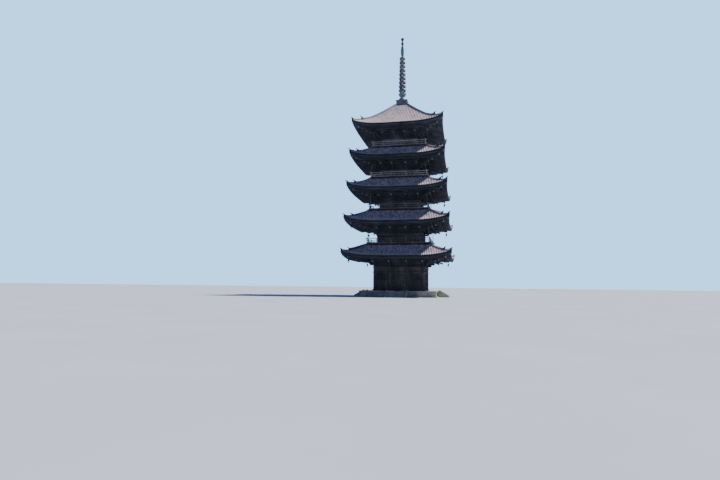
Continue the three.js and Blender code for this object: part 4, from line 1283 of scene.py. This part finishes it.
def podium():
    """Footing, short posts with slabs between them, coping stones and square paving."""
    top = FLOOR_TOP[GROUND]
    half = PODIUM_HALF
    paved = half - PAVING["inset"]
    parts = [
        *stone_course(half + FOOTING["past"], FOOTING["depth"], 0.0, FOOTING["top"], FOOTING["length"]),
        *stone_course(half + COPING["past"], COPING["depth"], top - COPING["height"], top - 0.002,
                      COPING["length"]),
        mitre(block((-half, half), (-half + 0.04, -half + 0.6), (0.1, top - 0.1))),
        *paving(paved, top),
    ]
    for x in spread(-half + POST["half"], half - POST["half"], POST["pitch"]):
        parts.append(block(around(x, POST["half"]), (-half, -half + POST["depth"]),
                           (0.2, top - 0.22), bevel=0.01))
    core = block((-paved, paved), (-paved, paved), (0.1, top - 0.03))
    whole = gathered([quarter_turns(gathered(parts)), core])
    set_piece(finish(whole, FIRST), "podium_stones", "stone", [granite], "podium")


def stairs(side, quarter):
    """Six step stones between two sloping cheek stones."""
    top = FLOOR_TOP[GROUND]
    rise = top / STAIR["steps"]
    near = PODIUM_HALF + 0.2
    far = near + STAIR["steps"] * STAIR["going"]
    parts = []
    for step in range(STAIR["steps"]):
        out = far - step * STAIR["going"]
        back = max(near, out - STAIR["going"] - STEP_LAP)
        parts.append(block((-STAIR["half_width"], STAIR["half_width"]), (-out, -back),
                           (step * rise, (step + 1) * rise), bevel=0.018))
    for x in (-1, 1):
        outline = [(near, 0), (far + 0.16, 0), (far + 0.16, STAIR["cheek_rise"] + rise / 2),
                   (near + 0.16, top + STAIR["cheek_rise"]), (near, top + STAIR["cheek_rise"])]
        cheek = soften(plate(outline, STAIR["cheek"]), 0.02)
        parts.append(shifted(outward(cheek), x * (STAIR["half_width"] + STAIR["cheek"] / 2)))
    whole = moved(gathered(parts), rotation(quarter * QUARTER))
    set_piece(finish(whole, FIRST), f"step_stones_{side}", "stone", [granite], f"stair_{side}")


# Finial

BASIN = {"plinth": 1.25, "body": 1.14, "rim": 1.21, "height": 1.33}
BOWL_TOP = 41.83
PETALS = {"count": 12, "out": 0.58, "foot": 41.88, "lean": 24}
CUP_TOP = 42.42
RING_RADII = (0.77, 0.745, 0.735, 0.72, 0.7, 0.67, 0.645, 0.63, 0.61)
FIRST_RING = 43.17
RING_SPACING = 0.87
SHAFT = {"radius": 0.19, "neck": 0.085}
SPOKES = 8
FLAME_FOOT = 50.62
# The foot and the reach of each tongue of a flame blade.
TONGUES = ((50.66, 0.34), (50.9, 0.41), (51.18, 0.43), (51.46, 0.42), (51.74, 0.4), (52.02, 0.4),
           (52.28, 0.38), (52.52, 0.3))
BALL_FOOT = 53.1
JEWEL_FOOT = 53.9


def square_block(half, low, high, bevel):
    return block((-half, half), (-half, half), (low, high), bevel=bevel)


def turned_from(foot, profile, steps):
    """A profile turned round the axis, its heights counted from a foot."""
    return turned_profile([(radius, foot + height) for radius, height in profile], steps)


def finial_base():
    """The square dew basin: plinth, panelled body and spreading rim."""
    foot = TOP_SHELF["height"]
    high = foot + BASIN["height"]
    parts = [
        square_block(BASIN["plinth"], foot, foot + 0.27, 0.03),
        square_block(BASIN["body"], foot + 0.25, high - 0.23, 0.02),
        square_block(BASIN["rim"], high - 0.25, high, 0.03),
    ]
    face = (-BASIN["body"] - 0.025, -BASIN["body"] + 0.04)
    panels = [block(around(x, 0.29), face, (foot + 0.38, foot + 0.97), bevel=0.015)
              for x in (-0.74, 0.0, 0.74)]
    whole = gathered([*parts, quarter_turns(gathered(panels))])
    set_piece(finish(whole, FIRST), "dew_basin", "bronze", [basin_bronze], "finial_base")


def finial_bowl():
    """The upturned bowl and the lotus cup that opens above it."""
    low = TOP_SHELF["height"] + BASIN["height"]
    bowl = turned_profile([(0.0, low), (0.8, low), (0.83, low + 0.08), (0.81, 41.04), (0.75, 41.22),
                           (0.62, 41.42), (0.44, 41.58), (0.38, 41.65), (0.38, 41.74), (0.46, BOWL_TOP),
                           (0.0, BOWL_TOP)], 32)
    cup = turned_profile([(0.0, BOWL_TOP), (0.46, BOWL_TOP), (0.62, 41.93), (0.69, 42.2), (0.67, CUP_TOP),
                          (0.4, CUP_TOP), (0.0, CUP_TOP - 0.02)], 24)
    petal = plate([(0.0, 0.0), (0.1, 0.04), (0.17, 0.25), (0.13, 0.5), (0.0, 0.66), (-0.13, 0.5),
                   (-0.17, 0.25), (-0.1, 0.04)], 0.035)
    moved(petal, rotation(math.radians(PETALS["lean"]), "X"))
    out = Matrix.Translation((0, -PETALS["out"], PETALS["foot"]))
    step = math.tau / PETALS["count"]
    petals = copies(petal, [rotation(i * step) @ out for i in range(PETALS["count"])])
    whole = gathered([bowl, cup, petals])
    set_piece(finish(whole, FIRST), "upturned_bowl_and_lotus", "bronze", [basin_bronze], "finial_bowl")


def wheel(radius, height):
    """One hooped wheel: a lipped rim, a hub, a band half way out and broad spokes."""
    inner, waist = radius - 0.075, radius - 0.03
    hoop = turned_from(height, [(inner, -0.23), (radius - 0.02, -0.23), (radius, -0.21), (radius, -0.13),
                                (waist, -0.11), (waist, 0.07), (radius, 0.09), (radius, 0.15),
                                (radius - 0.05, 0.23), (inner, 0.23), (inner, -0.23)], 32)
    hub = turned_from(height, [(0.17, -0.14), (0.24, -0.1), (0.25, 0.0), (0.24, 0.1), (0.17, 0.14)], 12)
    near, far = (radius + 0.08) / 2, (radius + 0.28) / 2
    band = turned_from(height, [(near, -0.03), (far, -0.03), (far, 0.03), (near, 0.03), (near, -0.03)], 24)
    spoke = block((0.2, radius - 0.05), (-0.05, 0.05), around(height, 0.04))
    turns = [rotation(i * math.tau / SPOKES) for i in range(SPOKES)]
    return [hoop, hub, band, copies(spoke, turns)]


def finial_rings():
    """Nine wheels on the shaft, which runs on through the flame."""
    last = FIRST_RING + (len(RING_RADII) - 1) * RING_SPACING
    stout, neck = SHAFT["radius"], SHAFT["neck"]
    shaft = turned_profile([(0.0, 42.4), (0.3, 42.4), (0.24, 42.6), (stout, FIRST_RING - 0.3),
                            (stout, last + 0.29), (neck, last + 0.43), (neck, BALL_FOOT - 0.13),
                            (0.12, BALL_FOOT - 0.11), (0.12, BALL_FOOT), (0.0, BALL_FOOT)], 16)
    wheels = []
    for index, radius in enumerate(RING_RADII):
        wheels += wheel(radius, FIRST_RING + index * RING_SPACING)
    whole = gathered([finish(shaft, SECOND), finish(gathered(wheels), FIRST)])
    set_piece(whole, "nine_rings", "bronze", [ring_bronze, lit_shaft_bronze], "finial_rings")


def flame_blade():
    """One blade of the water flame: tongues of bronze that lick up out of a stem, close together."""
    parts = [block((0.1, 0.18), (-0.03, 0.03), (FLAME_FOOT + 0.04, 52.92))]
    for foot, reach in TONGUES:
        tongue = [(0.12, 0.0), (0.22, 0.0), (reach - 0.02, 0.09), (reach, 0.22), (reach - 0.03, 0.4),
                  (reach - 0.06, 0.27), (0.19, 0.2), (0.12, 0.3)]
        parts.append(plate([(x, foot + z) for x, z in tongue], 0.06))
    return moved(gathered(parts), rotation(math.pi / 4))


def finial_flame():
    """Four blades round a sleeve on the shaft."""
    sleeve = turned_profile([(0.0, FLAME_FOOT), (0.19, FLAME_FOOT), (0.19, 52.6), (0.15, 52.96),
                             (0.0, 52.96)], 16)
    whole = gathered([quarter_turns(flame_blade()), sleeve])
    set_piece(finish(whole, FIRST), "water_flame", "bronze", [flame_bronze], "finial_flame")


def finial_ball():
    ball = turned_from(BALL_FOOT, [(0.0, 0.0), (0.15, 0.0), (0.2, 0.05), (0.245, 0.12), (0.285, 0.23),
                                   (0.295, 0.32), (0.285, 0.44), (0.26, 0.56), (0.21, 0.68), (0.16, 0.76),
                                   (0.15, 0.8), (0.0, 0.8)], 24)
    set_piece(finish(ball, FIRST), "dragon_car_ball", "bronze", [green_bronze], "finial_ball")


def finial_jewel():
    jewel = turned_from(JEWEL_FOOT, [(0.0, 0.0), (0.15, 0.0), (0.15, 0.18), (0.2, 0.26), (0.28, 0.38),
                                     (0.33, 0.5), (0.34, 0.59), (0.32, 0.69), (0.26, 0.78), (0.17, 0.86),
                                     (0.0, 0.9)], 24)
    set_piece(finish(jewel, FIRST), "sacred_jewel", "bronze", [green_bronze], "finial_jewel")


# The tower


def heart_pillar():
    """The CAD's own pillar, in the lower storeys' timber, darkened as painted shade."""
    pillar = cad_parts["heart_pillar"]
    pillar.data.materials.clear()
    pillar.data.materials.append(shaded_timber[GRAIN_Z])


for storey in STOREYS:
    roof_tiles(storey)
    hip_ridges(storey)
    eaves(storey)
    brackets(storey)
    walls(storey)
    doors(storey)
for storey in UPPER_STOREYS:
    balcony(storey)
    balustrade(storey)
wind_bells()
podium()
for quarter, side in enumerate(("front", "right", "back", "left")):
    stairs(side, quarter)
finial_base()
finial_bowl()
finial_rings()
finial_flame()
finial_ball()
finial_jewel()
heart_pillar()


# Floor, light and camera


def matt_floor():
    """Matt studio floor, with a faint mottle so that it isn't dead flat."""
    material, tree, shader, place = blank("matt_pale_floor")
    mottle = add(tree, "TexNoise", {"Vector": place, "Scale": 0.4, "Detail": 3.0})
    tint = add(tree, "ValToRGB", {"Fac": mottle.outputs["Fac"]},
               stops=[(0.3, "#b3bbc6"), (0.7, "#bac2cc")])
    fill(tree, shader, {"Base Color": tint.outputs["Color"], "Roughness": 0.9})
    return material


def studio_floor():
    bm = bmesh.new()
    bmesh.ops.create_grid(bm, x_segments=1, y_segments=1, size=600)
    mesh = bpy.data.meshes.new("floor")
    bm.to_mesh(mesh)
    bm.free()
    mesh.materials.append(matt_floor())
    floor = bpy.data.objects.new("floor", mesh)
    bpy.context.scene.collection.objects.link(floor)


def key_light():
    """The key light comes from the right, high and a little behind, as the shade under the roofs shows."""
    to_light = Vector((0.78, 0.2, 1.0)).normalized()
    key = bpy.data.lights.new("key", "SUN")
    key.energy = 7.2
    key.angle = math.radians(3)
    key.color = (1.0, 0.925, 0.87)
    lamp = bpy.data.objects.new("key", key)
    lamp.rotation_euler = to_light.to_track_quat("Z", "Y").to_euler()
    bpy.context.scene.collection.objects.link(lamp)


def soft_light():
    """Cool soft light from all round, and the plain pale blue that shows behind the tower."""
    world = bpy.data.worlds.new("studio")
    world.use_nodes = True
    tree = world.node_tree
    seen = add(tree, "LightPath", {}).outputs["Is Camera Ray"]
    soft = add(tree, "Background", {"Color": linear("#86b0fe"), "Strength": 0.43})
    plain = add(tree, "Background", {"Color": linear("#94ccff"), "Strength": 2.4})
    either = add(tree, "MixShader", {0: seen, 1: soft.outputs[0], 2: plain.outputs[0]})
    fill(tree, tree.nodes["World Output"], {"Surface": either.outputs[0]})
    bpy.context.scene.world = world


def camera():
    """The photograph's viewing angle, solved from the tower's corners. Distances are the model's."""
    azimuth, distance, height = math.radians(7.348), 98.169 * MODEL, 2.008 * MODEL
    heading = azimuth + math.radians(5.02)
    pitch, roll = math.radians(5.492), math.radians(0.624)
    level = Vector((math.cos(heading), math.sin(heading), 0))
    ahead = Vector((-math.sin(heading), math.cos(heading), 0))
    forward = math.cos(pitch) * ahead + Vector((0, 0, math.sin(pitch)))
    above = level.cross(forward)
    right = math.cos(roll) * level + math.sin(roll) * above
    up = -math.sin(roll) * level + math.cos(roll) * above
    lens = bpy.data.cameras.new("camera")
    lens.sensor_width = 36
    lens.lens = 24
    lens.clip_end = 2000
    view = bpy.data.objects.new("camera", lens)
    turn = Matrix((right, up, -forward)).transposed().to_4x4()
    eye = Vector((math.sin(azimuth) * distance, -math.cos(azimuth) * distance, height))
    view.matrix_world = Matrix.Translation(eye) @ turn
    bpy.context.scene.collection.objects.link(view)
    bpy.context.scene.camera = view


studio_floor()
key_light()
soft_light()
camera()
